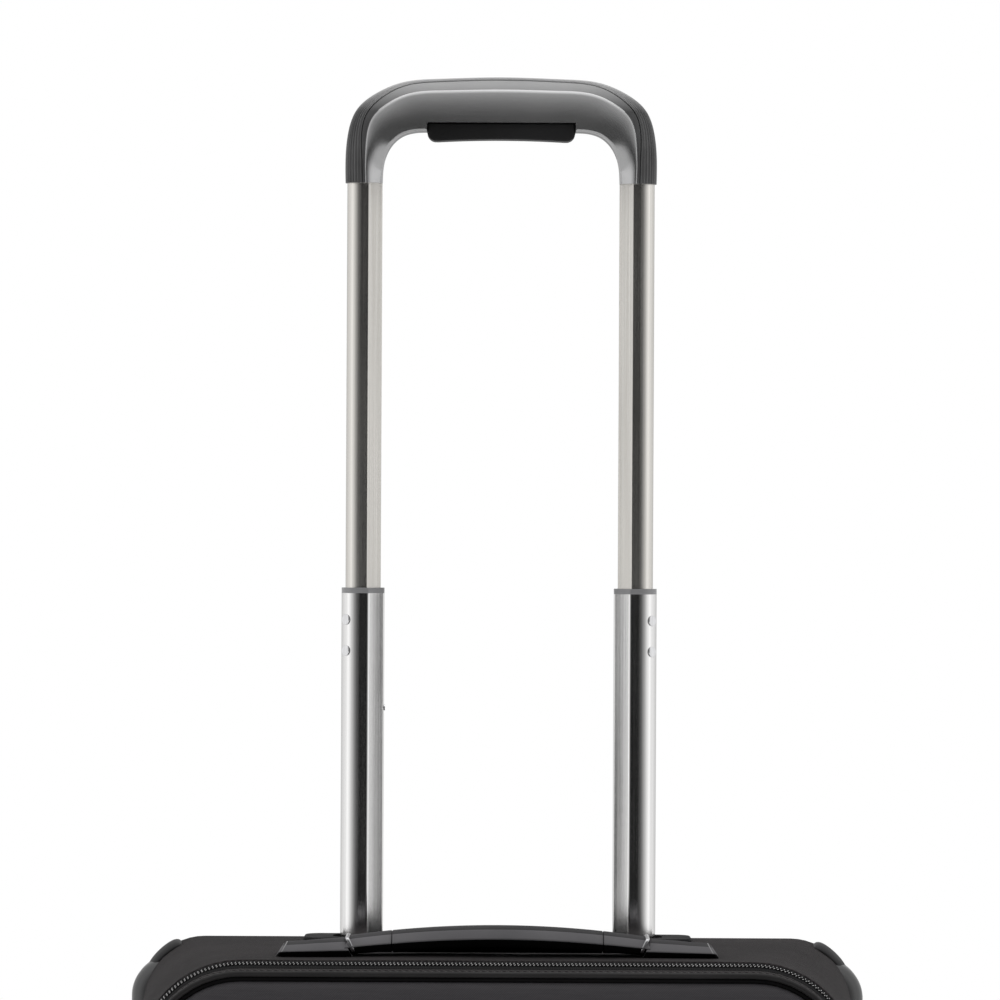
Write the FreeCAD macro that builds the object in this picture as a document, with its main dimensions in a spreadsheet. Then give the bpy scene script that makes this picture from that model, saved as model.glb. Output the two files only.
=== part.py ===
"""Softside upright suitcase: a fabric carry-on on two wheels, with a two-stage pull-out handle.

The row frame has +Z up and the case's front towards -Y. The origin is on the floor, under the
middle of the case. Lengths are millimetres. The pull-out handle stands at its highest stop.
"""

import FreeCAD
import Part

import math
import os

import Sketcher
from FreeCAD import Placement, Rotation, Vector

DIMENSIONS = {
    # The fabric case, a rounded box whose corners open out towards the front rim
    "case_half_width": 183.5,
    "rim_half_width": 178.0,
    "case_floor": 42.0,
    "case_top": 569.5,
    "rim_top": 569.5,
    "case_back": 102.0,
    "rim_plane": -84.0,
    "back_corner": 30.0,
    "rim_corner": 52.0,
    "cover_wall": 2.2,
    "frame_wall": 2.0,
    "lining_wall": 1.0,
    "layer_gap": 0.1,
    "lining_back": 60.0,
    "piping_radius": 2.6,
    # The lid and its pockets
    "chain_depth": 4.0,
    "chain_wall": 2.6,
    "lid_inset": 3.4,
    "lid_front": -104.0,
    "lid_wall": 3.0,
    "lid_piping_radius": 1.5,
    "panel_inset": 9.0,
    "panel_front": -108.5,
    "pocket_half_width": 150.0,
    "pocket_floor": 72.0,
    "pocket_top": 394.0,
    "pocket_front": -112.5,
    "pocket_chain_height": 5.0,
    "upper_chain_level": 512.0,
    # The pull-out handle's tubes: a D section with a slanted inner face
    "tube_outer_side": 81.5,
    "tube_ridge": 67.5,
    "tube_inner_side": 59.3,
    "tube_front": 69.5,
    "tube_back": 82.5,
    "tube_wall": 1.2,
    "outer_tube_gap": 0.9,
    "outer_tube_wall": 1.3,
    "upper_tube_inset": 2.0,
    "upper_tube_wall": 1.0,
    "collar_top": 751.0,
    "collar_height": 2.8,
    "sleeve_bottom": 701.0,
    "mid_tube_bottom": 400.0,
    "upper_tube_bottom": 700.0,
    "grip_leg_bottom": 960.0,
    "grip_socket_depth": 25.0,
    "stop_pitch": 50.8,
    "stop_count": 5.0,
    "lock_height": 688.0,
    "lock_pin_radius": 2.2,
    "rivet_radius": 2.75,
    # The bezel that the handle sinks into
    "bezel_half_width": 100.0,
    "bezel_front": 57.0,
    "bezel_back": 94.0,
    "flange_height": 1.7,
    "flange_level": 569.6,
    "well_half_width": 87.0,
    "well_front": 62.0,
    "well_back": 90.0,
    "well_floor": 518.0,
    "well_wall": 2.0,
    # The grip
    "grip_half_width": 80.2,
    "grip_top": 1014.9,
    "grip_front": 65.5,
    "grip_depth": 21.0,
    "band_wall": 2.0,
    "button_half_width": 38.2,
    "button_bottom": 981.3,
    "button_top": 991.0,
    "button_travel": 4.0,
    # The wheels
    "wheel_radius": 35.0,
    "wheel_width": 24.0,
    "wheel_offset": 158.0,
    "wheel_axle_back": 79.5,
    "hub_radius": 24.0,
    "bearing_radius": 11.0,
    "bearing_width": 7.0,
    "axle_radius": 4.0,
    "housing_inner": 132.0,
    "housing_outer": 187.0,
    "housing_front": 38.0,
    "housing_back": 106.0,
    "housing_bottom": 22.0,
    "housing_top": 96.0,
    # The feet
    "foot_inner": 92.0,
    "foot_outer": 130.0,
    "foot_front": -78.0,
    "foot_back": -48.0,
    "screw_radius": 2.0,
    "screw_head_radius": 4.0,
    # The carry handles on the top and on the side
    "carry_half_depth": 17.0,
    "top_handle_centre": -44.0,
    "side_handle_centre": 8.0,
    "side_handle_level": 320.0,
    "side_handle_face": 188.2,
    "cap_inner": 75.0,
    "cap_outer": 111.0,
}

EDGE_ROUND = 8.0  # Along the back edge of the fabric cover
RUNNING_GAP = 0.3  # Between pieces that slide past each other
SEAT_GAP = 0.05  # Between fixed pieces that are pushed together

doc = FreeCAD.newDocument("softside_upright")
sheet = doc.addObject("Spreadsheet::Sheet", "Dimensions")
nodes = {}


class Size:
    """A length together with the sheet expression that it is worked out from."""

    def __init__(self, value, text):
        self.value = float(value)
        self.text = text

    def __add__(self, other):
        other = as_size(other)
        return Size(self.value + other.value, f"({self.text} + {other.text})")

    def __sub__(self, other):
        other = as_size(other)
        return Size(self.value - other.value, f"({self.text} - {other.text})")

    def __mul__(self, other):
        other = as_size(other)
        return Size(self.value * other.value, f"({self.text} * {other.text})")

    def __truediv__(self, other):
        other = as_size(other)
        return Size(self.value / other.value, f"({self.text} / {other.text})")

    def __neg__(self):
        return Size(-self.value, f"(0 - {self.text})")

    __radd__ = __add__

    def __rsub__(self, other):
        return as_size(other) - self

    __rmul__ = __mul__


def as_size(value):
    return value if isinstance(value, Size) else Size(value, repr(float(value)))


class Sheet:
    """Reads each alias of the sheet as a Size."""

    def __getattr__(self, alias):
        return Size(DIMENSIONS[alias], f"Dimensions.{alias}")


D = Sheet()


def fill_sheet():
    for row, (alias, value) in enumerate(DIMENSIONS.items(), start=1):
        sheet.set(f"A{row}", alias)
        sheet.set(f"B{row}", str(value))
        sheet.setAlias(f"B{row}", alias)
    doc.recompute()


def bind(thing, prop, value):
    """Sets a property, and ties it to the sheet where its value comes from there."""
    value = as_size(value)
    if "Dimensions." in value.text:
        thing.setExpression(prop, value.text)
    elif "." not in prop:
        setattr(thing, prop, value.value)
    else:
        thing.setExpression(prop, value.text)


def keep(node, thing):
    """Names the object as the sub-part that its file is written from."""
    thing.Label = node
    nodes[node] = thing
    return thing


# ---------------------------------------------------------------- Part primitives and booleans


def place(thing, x, y, z, rotation=None):
    if rotation:
        thing.Placement = Placement(Vector(0, 0, 0), rotation)
    bind(thing, "Placement.Base.x", x)
    bind(thing, "Placement.Base.y", y)
    bind(thing, "Placement.Base.z", z)
    return thing


def box(name, x, y, z):
    """A block between the two numbers given along each axis."""
    block = doc.addObject("Part::Box", name)
    bind(block, "Length", x[1] - as_size(x[0]))
    bind(block, "Width", y[1] - as_size(y[0]))
    bind(block, "Height", z[1] - as_size(z[0]))
    return place(block, x[0], y[0], z[0])


AXIS_TURN = {
    "X": Rotation(Vector(0, 0, 1), Vector(1, 0, 0)),
    "Y": Rotation(Vector(0, 0, 1), Vector(0, 1, 0)),
    "Z": Rotation(),
}


def rod(name, axis, start, length, radius):
    """A cylinder from a start point, along one axis."""
    cylinder = doc.addObject("Part::Cylinder", name)
    bind(cylinder, "Radius", radius)
    bind(cylinder, "Height", length)
    return place(cylinder, *start, AXIS_TURN[axis])


def fuse(name, *shapes):
    joined = doc.addObject("Part::MultiFuse", name)
    joined.Shapes = list(shapes)
    joined.Refine = True
    return joined


def group(name, *shapes):
    """Separate solids under one name."""
    together = doc.addObject("Part::Compound", name)
    together.Links = list(shapes)
    return together


def cut(name, base, *tools):
    tool = tools[0] if len(tools) == 1 else group(f"{name}_tools", *tools)
    rest = doc.addObject("Part::Cut", name)
    rest.Base = base
    rest.Tool = tool
    return rest


def mirrored(name, source):
    """The same piece on the other side of the case."""
    twin = doc.addObject("Part::Mirroring", name)
    twin.Source = source
    twin.Base = (0, 0, 0)
    twin.Normal = (1, 0, 0)
    return twin


def both_sides(name, source):
    return group(name, source, mirrored(f"{name}_left", source))


def keep_pair(name, right):
    keep(f"{name}_right", right)
    keep(f"{name}_left", mirrored(f"{name}_left", right))


# ---------------------------------------------------------------- PartDesign bodies and sketches

PLANES = {"X": "YZ_Plane", "Y": "XZ_Plane", "Z": "XY_Plane"}


def new_body(name):
    return doc.addObject("PartDesign::Body", name)


def sketch_on(body, name, normal, level):
    """A sketch across the given axis, at a level along it. Across Y the plane faces the front."""
    sketch = body.newObject("Sketcher::SketchObject", name)
    plane = next(f for f in body.Origin.OriginFeatures if f.Role == PLANES[normal])
    sketch.AttachmentSupport = [(plane, "")]
    sketch.MapMode = "FlatFace"
    level = as_size(level)
    bind(sketch, "AttachmentOffset.Base.z", -level if normal == "Y" else level)
    return sketch


def dimension(sketch, constraint, name, value):
    """Adds a named dimension to a sketch and binds it."""
    index = sketch.addConstraint(constraint)
    sketch.renameConstraint(index, name)
    value = as_size(value)
    if "Dimensions." in value.text:
        sketch.setExpression(f".Constraints.{name}", value.text)


def rounded_rectangle(sketch, across, up, radius):
    """Four lines and four equal tangent arcs, between two numbers each way."""
    (left, right), (low, high) = [[as_size(v) for v in pair] for pair in (across, up)]
    radius = as_size(radius)
    x0, x1, y0, y1, r = (s.value for s in (left, right, low, high, radius))
    ends = [
        (Vector(x0 + r, y0), Vector(x1 - r, y0)),
        (Vector(x1, y0 + r), Vector(x1, y1 - r)),
        (Vector(x1 - r, y1), Vector(x0 + r, y1)),
        (Vector(x0, y1 - r), Vector(x0, y0 + r)),
    ]
    centres = [
        Vector(x1 - r, y0 + r),
        Vector(x1 - r, y1 - r),
        Vector(x0 + r, y1 - r),
        Vector(x0 + r, y0 + r),
    ]
    for quarter, (line, centre) in enumerate(zip(ends, centres)):
        start = math.radians(90 * quarter - 90)
        sketch.addGeometry(Part.LineSegment(*line))
        circle = Part.Circle(centre, Vector(0, 0, 1), r)
        sketch.addGeometry(Part.ArcOfCircle(circle, start, start + math.pi / 2))
    rules = []
    for line in (0, 2, 4, 6):
        rules.append(Sketcher.Constraint("Tangent", line, 2, line + 1, 1))
        rules.append(Sketcher.Constraint("Tangent", line + 1, 2, (line + 2) % 8, 1))
        rules.append(Sketcher.Constraint("Vertical" if line % 4 else "Horizontal", line))
    rules += [Sketcher.Constraint("Equal", 1, arc) for arc in (3, 5, 7)]
    sketch.addConstraint(rules)
    dimension(sketch, Sketcher.Constraint("Radius", 1, r), "corner", radius)
    dimension(sketch, Sketcher.Constraint("DistanceX", -1, 1, 6, 1, x0), "left", left)
    dimension(sketch, Sketcher.Constraint("DistanceX", -1, 1, 2, 1, x1), "right", right)
    dimension(sketch, Sketcher.Constraint("DistanceY", -1, 1, 0, 1, y0), "low", low)
    dimension(sketch, Sketcher.Constraint("DistanceY", -1, 1, 4, 1, y1), "high", high)
    return sketch


def polygon(sketch, points):
    """Straight lines through the points, each point held by its two dimensions."""
    points = [(as_size(x), as_size(y)) for x, y in points]
    count = len(points)
    spots = [Vector(x.value, y.value) for x, y in points]
    for index in range(count):
        sketch.addGeometry(Part.LineSegment(spots[index], spots[(index + 1) % count]))
    for index in range(count):
        sketch.addConstraint(Sketcher.Constraint("Coincident", index, 2, (index + 1) % count, 1))
    for index, (x, y) in enumerate(points):
        side = Sketcher.Constraint("DistanceX", -1, 1, index, 1, x.value)
        rise = Sketcher.Constraint("DistanceY", -1, 1, index, 1, y.value)
        dimension(sketch, side, f"x{index}", x)
        dimension(sketch, rise, f"y{index}", y)
    return sketch


def pad(body, sketch, length, name="pad"):
    feature = body.newObject("PartDesign::Pad", f"{body.Name}_{name}")
    feature.Profile = sketch
    bind(feature, "Length", length)
    sketch.Visibility = False
    return feature


def round_edges(body, base, radius, chosen):
    """Rounds the edges of a feature that the chosen test picks out."""
    doc.recompute()
    edges = [f"Edge{i}" for i, edge in enumerate(base.Shape.Edges, 1) if chosen(edge)]
    feature = body.newObject("PartDesign::Fillet", f"{body.Name}_round")
    feature.Base = (base, edges)
    bind(feature, "Radius", radius)
    return feature


def on_level(axis, level):
    """Tests whether an edge lies in the plane at a level along an axis."""
    low, high = f"{axis}Min", f"{axis}Max"
    level = as_size(level).value

    def test(edge):
        bound = edge.BoundBox
        return abs(getattr(bound, low) - level) < 0.05 and abs(getattr(bound, high) - level) < 0.05

    return test


def rounded_prism(name, normal, across, up, depth, radius, edge_round=0, round_level=None):
    """A rounded rectangle padded between two levels, with one end's edges rounded if asked."""
    low, high = (as_size(v) for v in depth)
    body = new_body(name)
    sketch = sketch_on(body, f"{name}_outline", normal, high if normal == "Y" else low)
    rounded_rectangle(sketch, across, up, radius)
    feature = pad(body, sketch, high - low)
    if edge_round:
        round_edges(body, feature, edge_round, on_level(normal, round_level))
    return body


# ---------------------------------------------------------------- The case


def rim_share(level):
    """How far a level lies from the back face, 0, to the front rim, 1."""
    return (D.case_back - level) / (D.case_back - D.rim_plane)


def case_outline(level, inset):
    """The case's rounded outline at a level along Y, inset by a wall."""
    share = rim_share(level)
    half = D.case_half_width + share * (D.rim_half_width - D.case_half_width) - inset
    top = D.case_top + share * (D.rim_top - D.case_top) - inset
    corner = D.back_corner + share * (D.rim_corner - D.back_corner) - inset
    return (-half, half), (D.case_floor + inset, top), corner


def case_block(name, inset, back, front, edge_round=0):
    """A solid of the case's form between two levels, inset by a wall."""
    body = new_body(name)
    outlines = []
    for place_name, level in (("back", back), ("front", front)):
        sketch = sketch_on(body, f"{name}_{place_name}", "Y", level)
        rounded_rectangle(sketch, *case_outline(as_size(level), as_size(inset)))
        outlines.append(sketch)
    loft = body.newObject("PartDesign::AdditiveLoft", f"{name}_loft")
    loft.Profile = outlines[0]
    loft.Sections = outlines[1:]
    loft.Ruled = True
    if edge_round:
        round_edges(body, loft, edge_round, on_level("Y", back))
    return body


def case_layer(name, inset, wall, back, edge_round):
    """One hollow layer of the case, open at the front rim."""
    outside = case_block(f"{name}_outside", inset, back, D.rim_plane, edge_round)
    inner_round = max(edge_round - wall.value, 0)
    inside = case_block(f"{name}_inside", inset + wall, back - wall, D.rim_plane - 1, inner_round)
    return outside, inside


def case_openings():
    """What is cut from each layer: the handle's well, the wheel housings and the screws' holes."""
    gap = RUNNING_GAP
    well = rounded_prism(
        "well_opening",
        "Z",
        (-D.well_half_width - gap, D.well_half_width + gap),
        (D.well_front - gap, D.well_back + gap),
        (D.well_floor + 20, D.case_top + 20),
        10 + gap,
    )
    corner = box(
        "housing_opening",
        (D.housing_inner - gap, D.case_half_width + 20),
        (D.housing_front - gap, D.case_back + 20),
        (D.housing_bottom, D.housing_top + gap),
    )
    holes = [
        rod("screw_hole", "Z", (x, y, D.case_floor - 5), 12, D.screw_radius)
        for x, y in SCREW_PLACES
    ]
    right = group("side_openings", corner, *holes)
    return [well, right, mirrored("side_openings_left", right)]


HOUSING_SCREWS = [(146.0, 27.0), (170.0, 27.0)]
FOOT_SCREWS = [(102.0, -63.0), (120.0, -63.0)]
SCREW_PLACES = HOUSING_SCREWS + FOOT_SCREWS


def make_case_layers():
    """The fabric cover, the plastic frame inside it, and the lining."""
    openings = case_openings()
    frame_inset = D.cover_wall + D.layer_gap
    lining_inset = frame_inset + D.frame_wall + D.layer_gap
    layers = [
        ("outer_cover", as_size(0), D.cover_wall, D.case_back, EDGE_ROUND),
        ("frame_shell", frame_inset, D.frame_wall, D.case_back - frame_inset, 6),
        ("lining", lining_inset, D.lining_wall, D.lining_back, 0),
    ]
    for name, inset, wall, back, edge_round in layers:
        outside, inside = case_layer(name, inset, wall, back, edge_round)
        keep(name, cut(name, outside, inside, *openings))


def ring_sweep(name, outline, level, radius):
    """A round welt swept along a rounded rectangle across Y."""
    body = new_body(name)
    spine = sketch_on(body, f"{name}_path", "Y", level)
    rounded_rectangle(spine, *outline)
    profile = sketch_on(body, f"{name}_section", "X", 0)
    centre = Vector(as_size(level).value, as_size(outline[1][0]).value)
    profile.addGeometry(Part.Circle(centre, Vector(0, 0, 1), as_size(radius).value))
    dimension(profile, Sketcher.Constraint("Radius", 0, as_size(radius).value), "radius", radius)
    across = Sketcher.Constraint("DistanceX", -1, 1, 0, 3, centre.x)
    rise = Sketcher.Constraint("DistanceY", -1, 1, 0, 3, centre.y)
    dimension(profile, across, "across", level)
    dimension(profile, rise, "rise", outline[1][0])
    pipe = body.newObject("PartDesign::AdditivePipe", f"{name}_pipe")
    pipe.Profile = profile
    pipe.Spine = (spine, [])
    return body


PIPING_TURN = math.radians(75)  # How far round the back edge the welt lies, from the sides


def make_rear_piping():
    """The welt along the back edge, lying low on the edge's rounding, behind the top."""
    reach = D.piping_radius + EDGE_ROUND + 0.1
    inset = EDGE_ROUND - reach * math.cos(PIPING_TURN)
    level = D.case_back - EDGE_ROUND + reach * math.sin(PIPING_TURN)
    outline = case_outline(D.case_back, inset)
    whole = ring_sweep("rear_piping_ring", outline, level, D.piping_radius)
    gap = RUNNING_GAP
    housing = box(
        "piping_housing_gap",
        (D.housing_inner - gap, D.case_half_width + 20),
        (D.housing_front, D.case_back + 20),
        (D.housing_bottom, D.housing_top + gap),
    )
    keep("rear_piping", cut("rear_piping", whole, housing, mirrored("piping_gap_left", housing)))


def make_corner_guards():
    """The moulded guards down the back corners, and the pads on the shoulders above them."""
    envelope = case_block("guard_seat", 0, D.case_back, D.rim_plane)
    back, split = 97.0, 557.5
    guard = rounded_prism("guard_block", "Y", (130, 188.8), (465, split + 2.5), (66, back), 20)
    guard = round_both_ends(guard, "Y", (66, back), 9)
    top = box("guard_trim", (100, 200), (60, 100), (split, split + 20))
    keep_pair("corner_guard", cut("guard_trimmed", guard, envelope, top))
    pad_block = rounded_prism("shoulder_block", "Y", (130, 181), (500, 568), (70, back - 2), 13)
    pad_block = round_both_ends(pad_block, "Y", (70, back - 2), 7)
    below = box("shoulder_trim", (100, 200), (60, 100), (490, split + 0.2))
    shoulder = cut("shoulder_trimmed", pad_block, envelope, below)
    keep("shoulder_pads", both_sides("shoulder_pads", shoulder))


def round_both_ends(body, axis, levels, radius):
    base = body.Tip
    doc.recompute()
    tests = [on_level(axis, level) for level in levels]
    round_edges(body, base, radius, lambda edge: any(test(edge) for test in tests))
    return body


# ---------------------------------------------------------------- The lid


def lid_outline(inset):
    """The lid's rounded outline, inset from the case's rim."""
    (left, right), (low, high), corner = case_outline(D.rim_plane, as_size(inset))
    return (left, right), (low, high), corner


def chain_ring(name, inset, depth):
    """One half of the main zipper: a strip round the top and the sides, and none below."""
    outer = lid_outline(inset)
    inner = lid_outline(inset + D.chain_wall)
    through = (depth[0] - 1, depth[1] + 1)
    outside = rounded_prism(f"{name}_outside", "Y", *outer[:2], depth, outer[2])
    inside = rounded_prism(f"{name}_inside", "Y", *inner[:2], through, inner[2])
    floor = box(f"{name}_floor", (-200, 200), (-120, 0), (0, D.case_floor + D.rim_corner - 20))
    return keep(name, cut(name, outside, inside, floor))


def make_lid():
    """The padded lid with its half of the zipper, its welt and its two flat pockets."""
    seam = D.rim_plane - D.chain_depth
    chain_ring("case_zipper_chain", as_size(0.2), (seam, D.rim_plane))
    lid_back = seam - RUNNING_GAP
    chain_ring("lid_zipper_chain", as_size(0.5), (lid_back - D.chain_depth, lid_back))
    outline = lid_outline(D.lid_inset)
    tray = rounded_prism(
        "lid_block", "Y", *outline[:2], (D.lid_front, lid_back), outline[2], 3, D.lid_front
    )
    inner = lid_outline(D.lid_inset + D.lid_wall)
    hollow = rounded_prism(
        "lid_hollow", "Y", *inner[:2], (D.lid_front + D.lid_wall, lid_back + 1), inner[2]
    )
    keep("lid_panel", cut("lid_panel", tray, hollow))
    welt = lid_outline(D.lid_inset + 1.8)
    level = D.lid_front - D.lid_piping_radius - SEAT_GAP
    keep("lid_piping", ring_sweep("lid_piping", welt, level, D.lid_piping_radius))
    make_pockets()


def make_pockets():
    """The smooth front panel, the flat pocket on it, and the two pockets' zippers."""
    outline = lid_outline(D.panel_inset)
    panel = rounded_prism(
        "front_panel",
        "Y",
        *outline[:2],
        (D.panel_front, D.lid_front - SEAT_GAP),
        outline[2],
        3,
        D.panel_front,
    )
    keep("front_panel", panel)
    half = D.pocket_half_width
    pocket = rounded_prism(
        "front_pocket",
        "Y",
        (-half, half),
        (D.pocket_floor, D.pocket_top),
        (D.pocket_front, D.panel_front - SEAT_GAP),
        26,
        3,
        D.pocket_front,
    )
    keep("front_pocket", pocket)
    chains = []
    for name, margin, level, front in pocket_chains():
        chain = box(
            f"{name}_chain",
            (-half + margin, half - margin),
            (front, D.panel_front - SEAT_GAP),
            (level, level + D.pocket_chain_height),
        )
        chains.append(chain)
    keep("pocket_zipper_chains", group("pocket_zipper_chains", *chains))


def pocket_chains():
    """Each pocket zipper: its name, end margin, level, and how far forward it stands."""
    return [
        ("front_pocket", 20, D.pocket_top + 2.5, D.panel_front - 2.0),
        ("upper_pocket", 24, D.upper_chain_level, D.panel_front - 0.6),
    ]


# ---------------------------------------------------------------- Zipper sliders

PULL_LENGTH = 26.0


def make_side_slider(name, level):
    """A slider on the right side of the main zipper, with its pull hanging flat below it."""
    seam = D.rim_plane - D.chain_depth - 0.15
    face = D.rim_half_width + 0.5
    body = box(f"{name}_body", (face, face + 2.6), (seam - 4.5, seam + 4.5), (level - 6, level + 6))
    bridge = box(
        f"{name}_bridge", (face + 2.6, face + 5.4), (seam - 1.6, seam + 1.6), (level - 4, level + 4)
    )
    bail = rod(f"{name}_bail_hole", "Y", (face + 3.8, seam - 5, level), 10, 1.15)
    keep(name, cut(name, fuse(f"{name}_block", body, bridge), bail))
    pin = rod(f"{name}_bail", "Y", (face + 3.8, seam - 3.6, level), 7.2, 0.8)
    arms = [
        box(
            f"{name}_arm",
            (face + 3.0, face + 4.6),
            (seam + side * 2.75 - 0.85, seam + side * 2.75 + 0.85),
            (level - 8, level),
        )
        for side in (-1, 1)
    ]
    tab = rounded_prism(
        f"{name}_tab",
        "X",
        (seam - 3.6, seam + 3.6),
        (level - PULL_LENGTH - 6, level - 6.5),
        (face + 3.0, face + 4.6),
        2.2,
    )
    keep(f"{name}_pull", fuse(f"{name}_pull", pin, *arms, tab))


def make_front_slider(name, side, level, chain_front):
    """A slider on a pocket's zipper, with its pull hanging in front of the pocket."""
    hang = D.pocket_front - 0.4
    bar = hang - 0.8
    body = box(
        f"{name}_body", (side - 6, side + 6), (hang + 0.5, chain_front - 0.4), (level - 4, level + 4)
    )
    bridge = box(
        f"{name}_bridge", (side - 1.6, side + 1.6), (bar - 1.5, hang + 0.5), (level - 3, level + 3)
    )
    bail = rod(f"{name}_bail_hole", "X", (side - 5, bar, level), 10, 1.15)
    keep(name, cut(name, fuse(f"{name}_block", body, bridge), bail))
    pin = rod(f"{name}_bail", "X", (side - 3.6, bar, level), 7.2, 0.8)
    arms = [
        box(
            f"{name}_arm",
            (side + hand * 2.75 - 0.85, side + hand * 2.75 + 0.85),
            (hang - 1.6, hang),
            (level - 8, level),
        )
        for hand in (-1, 1)
    ]
    tab = rounded_prism(
        f"{name}_tab",
        "Y",
        (side - 3.6, side + 3.6),
        (level - PULL_LENGTH - 6, level - 6.5),
        (hang - 1.6, hang),
        2.2,
    )
    keep(f"{name}_pull", fuse(f"{name}_pull", pin, *arms, tab))


def make_sliders():
    make_side_slider("main_slider_upper", 312.0)
    make_side_slider("main_slider_lower", 264.0)
    for name, _, level, front in pocket_chains():
        middle = level + D.pocket_chain_height / 2
        make_front_slider(f"{name}_slider", as_size(112.0), middle, front)


# ---------------------------------------------------------------- The pull-out handle

SLANT = math.sqrt(2) - 1  # How far a corner of the slanted face moves along a square face


def tube_section(inset):
    """The right-hand tube's section, inset all round: outer side, back, inner side, slant, front."""
    inset = as_size(inset)
    drop = D.tube_ridge - D.tube_inner_side
    outer = D.tube_outer_side - inset
    inner = D.tube_inner_side + inset
    front = D.tube_front + inset
    back = D.tube_back - inset
    ridge = D.tube_ridge + inset * SLANT
    slant_end = D.tube_front + drop + inset * SLANT
    return [(ridge, front), (outer, front), (outer, back), (inner, back), (inner, slant_end)]


CORNER_ROUNDS = (1.8, 9.4, 3.4, 3.0, 2.2)  # Ridge, outer front, outer back, inner back, slant end
SMALLEST_ROUND = 0.3


def tube_core(name, inset, bottom, top):
    """A solid bar of the tube's section, inset or outset all round."""
    body = new_body(name)
    sketch = sketch_on(body, f"{name}_section", "Z", bottom)
    points = tube_section(inset)
    polygon(sketch, points)
    feature = pad(body, sketch, as_size(top) - bottom)
    doc.recompute()
    for (x, y), radius in zip(points, CORNER_ROUNDS):
        wanted = max(radius - as_size(inset).value, SMALLEST_ROUND)
        feature = round_edges(body, feature, wanted, standing_at(x, y))
    return body


def standing_at(x, y):
    """Tests whether an edge is the upright one through a point."""
    x, y = x.value, y.value

    def test(edge):
        bound = edge.BoundBox
        upright = bound.XLength < 0.01 and bound.YLength < 0.01
        return upright and abs(bound.XMin - x) < 0.01 and abs(bound.YMin - y) < 0.01

    return test


def hollow_bar(name, inset, wall, bottom, top):
    outside = tube_core(f"{name}_outside", inset, bottom, top)
    inside = tube_core(f"{name}_inside", as_size(inset) + wall, as_size(bottom) - 1, as_size(top) + 1)
    return cut(name, outside, inside)


TUBE_MIDDLE = 71.0  # The middle of a tube's hollow, along X


def make_outer_tubes():
    """The fixed tubes inside the case, standing in a bracket on its floor."""
    bracket_floor = D.case_floor + D.cover_wall + D.frame_wall + D.layer_gap * 3
    plate_top = bracket_floor + 3.5
    outset = -(D.outer_tube_gap + D.outer_tube_wall)
    ends = (plate_top + SEAT_GAP, D.well_floor - SEAT_GAP)
    tube = hollow_bar("outer_tube", outset, D.outer_tube_wall, *ends)
    keep_pair("outer_tube", tube)
    plate = rounded_prism("bracket_plate", "Z", (-92, 92), (64, 88), (bracket_floor, plate_top), 6)
    socket = tube_core("bracket_socket", outset - 2, plate_top, plate_top + 22)
    inside = tube_core("bracket_socket_hollow", outset - SEAT_GAP, plate_top, plate_top + 23)
    shape = fuse("bracket_shape", plate, socket, mirrored("bracket_socket_left", socket))
    screws = []
    holes = []
    for x in (-44.0, -20.0, 20.0, 44.0):
        holes.append(rod("bracket_hole", "Z", (x, 76, bracket_floor - 1), 10, D.screw_radius))
        shank = rod("bracket_shank", "Z", (x, 76, bracket_floor), 3.5, D.screw_radius)
        head = rod("bracket_head", "Z", (x, 76, plate_top), 2.2, D.screw_head_radius)
        screws.append(fuse("bracket_screw", shank, head))
    tools = [inside, mirrored("bracket_hollow_left", inside)] + holes
    keep("tube_foot_bracket", cut("tube_foot_bracket", shape, *tools))
    return screws


def make_bezel():
    """The tray on the case's top: a flange, and a deep well that the grip sinks into."""
    flange = rounded_prism(
        "bezel_flange",
        "Z",
        (-D.bezel_half_width, D.bezel_half_width),
        (D.bezel_front, D.bezel_back),
        (D.flange_level, D.flange_level + D.flange_height),
        9,
        1.2,
        D.flange_level + D.flange_height,
    )
    well = rounded_prism(
        "bezel_well",
        "Z",
        (-D.well_half_width, D.well_half_width),
        (D.well_front, D.well_back),
        (D.well_floor, D.flange_level + 1),
        10,
    )
    hollow = rounded_prism(
        "bezel_hollow",
        "Z",
        (-D.well_half_width + D.well_wall, D.well_half_width - D.well_wall),
        (D.well_front + D.well_wall, D.well_back - D.well_wall),
        (D.well_floor + D.well_wall, D.flange_level + 10),
        8,
    )
    hole = tube_core("bezel_hole", -D.outer_tube_gap, D.well_floor - 1, D.well_floor + 5)
    shape = fuse("bezel_shape", flange, well)
    keep("handle_bezel", cut("handle_bezel", shape, hollow, both_sides("bezel_holes", hole)))


RIVET_TURN = 47.5  # Degrees from the front to where the rivets sit on the rounded outer edge
RIVET_LEVELS = (734.5, 718.5)


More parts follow.
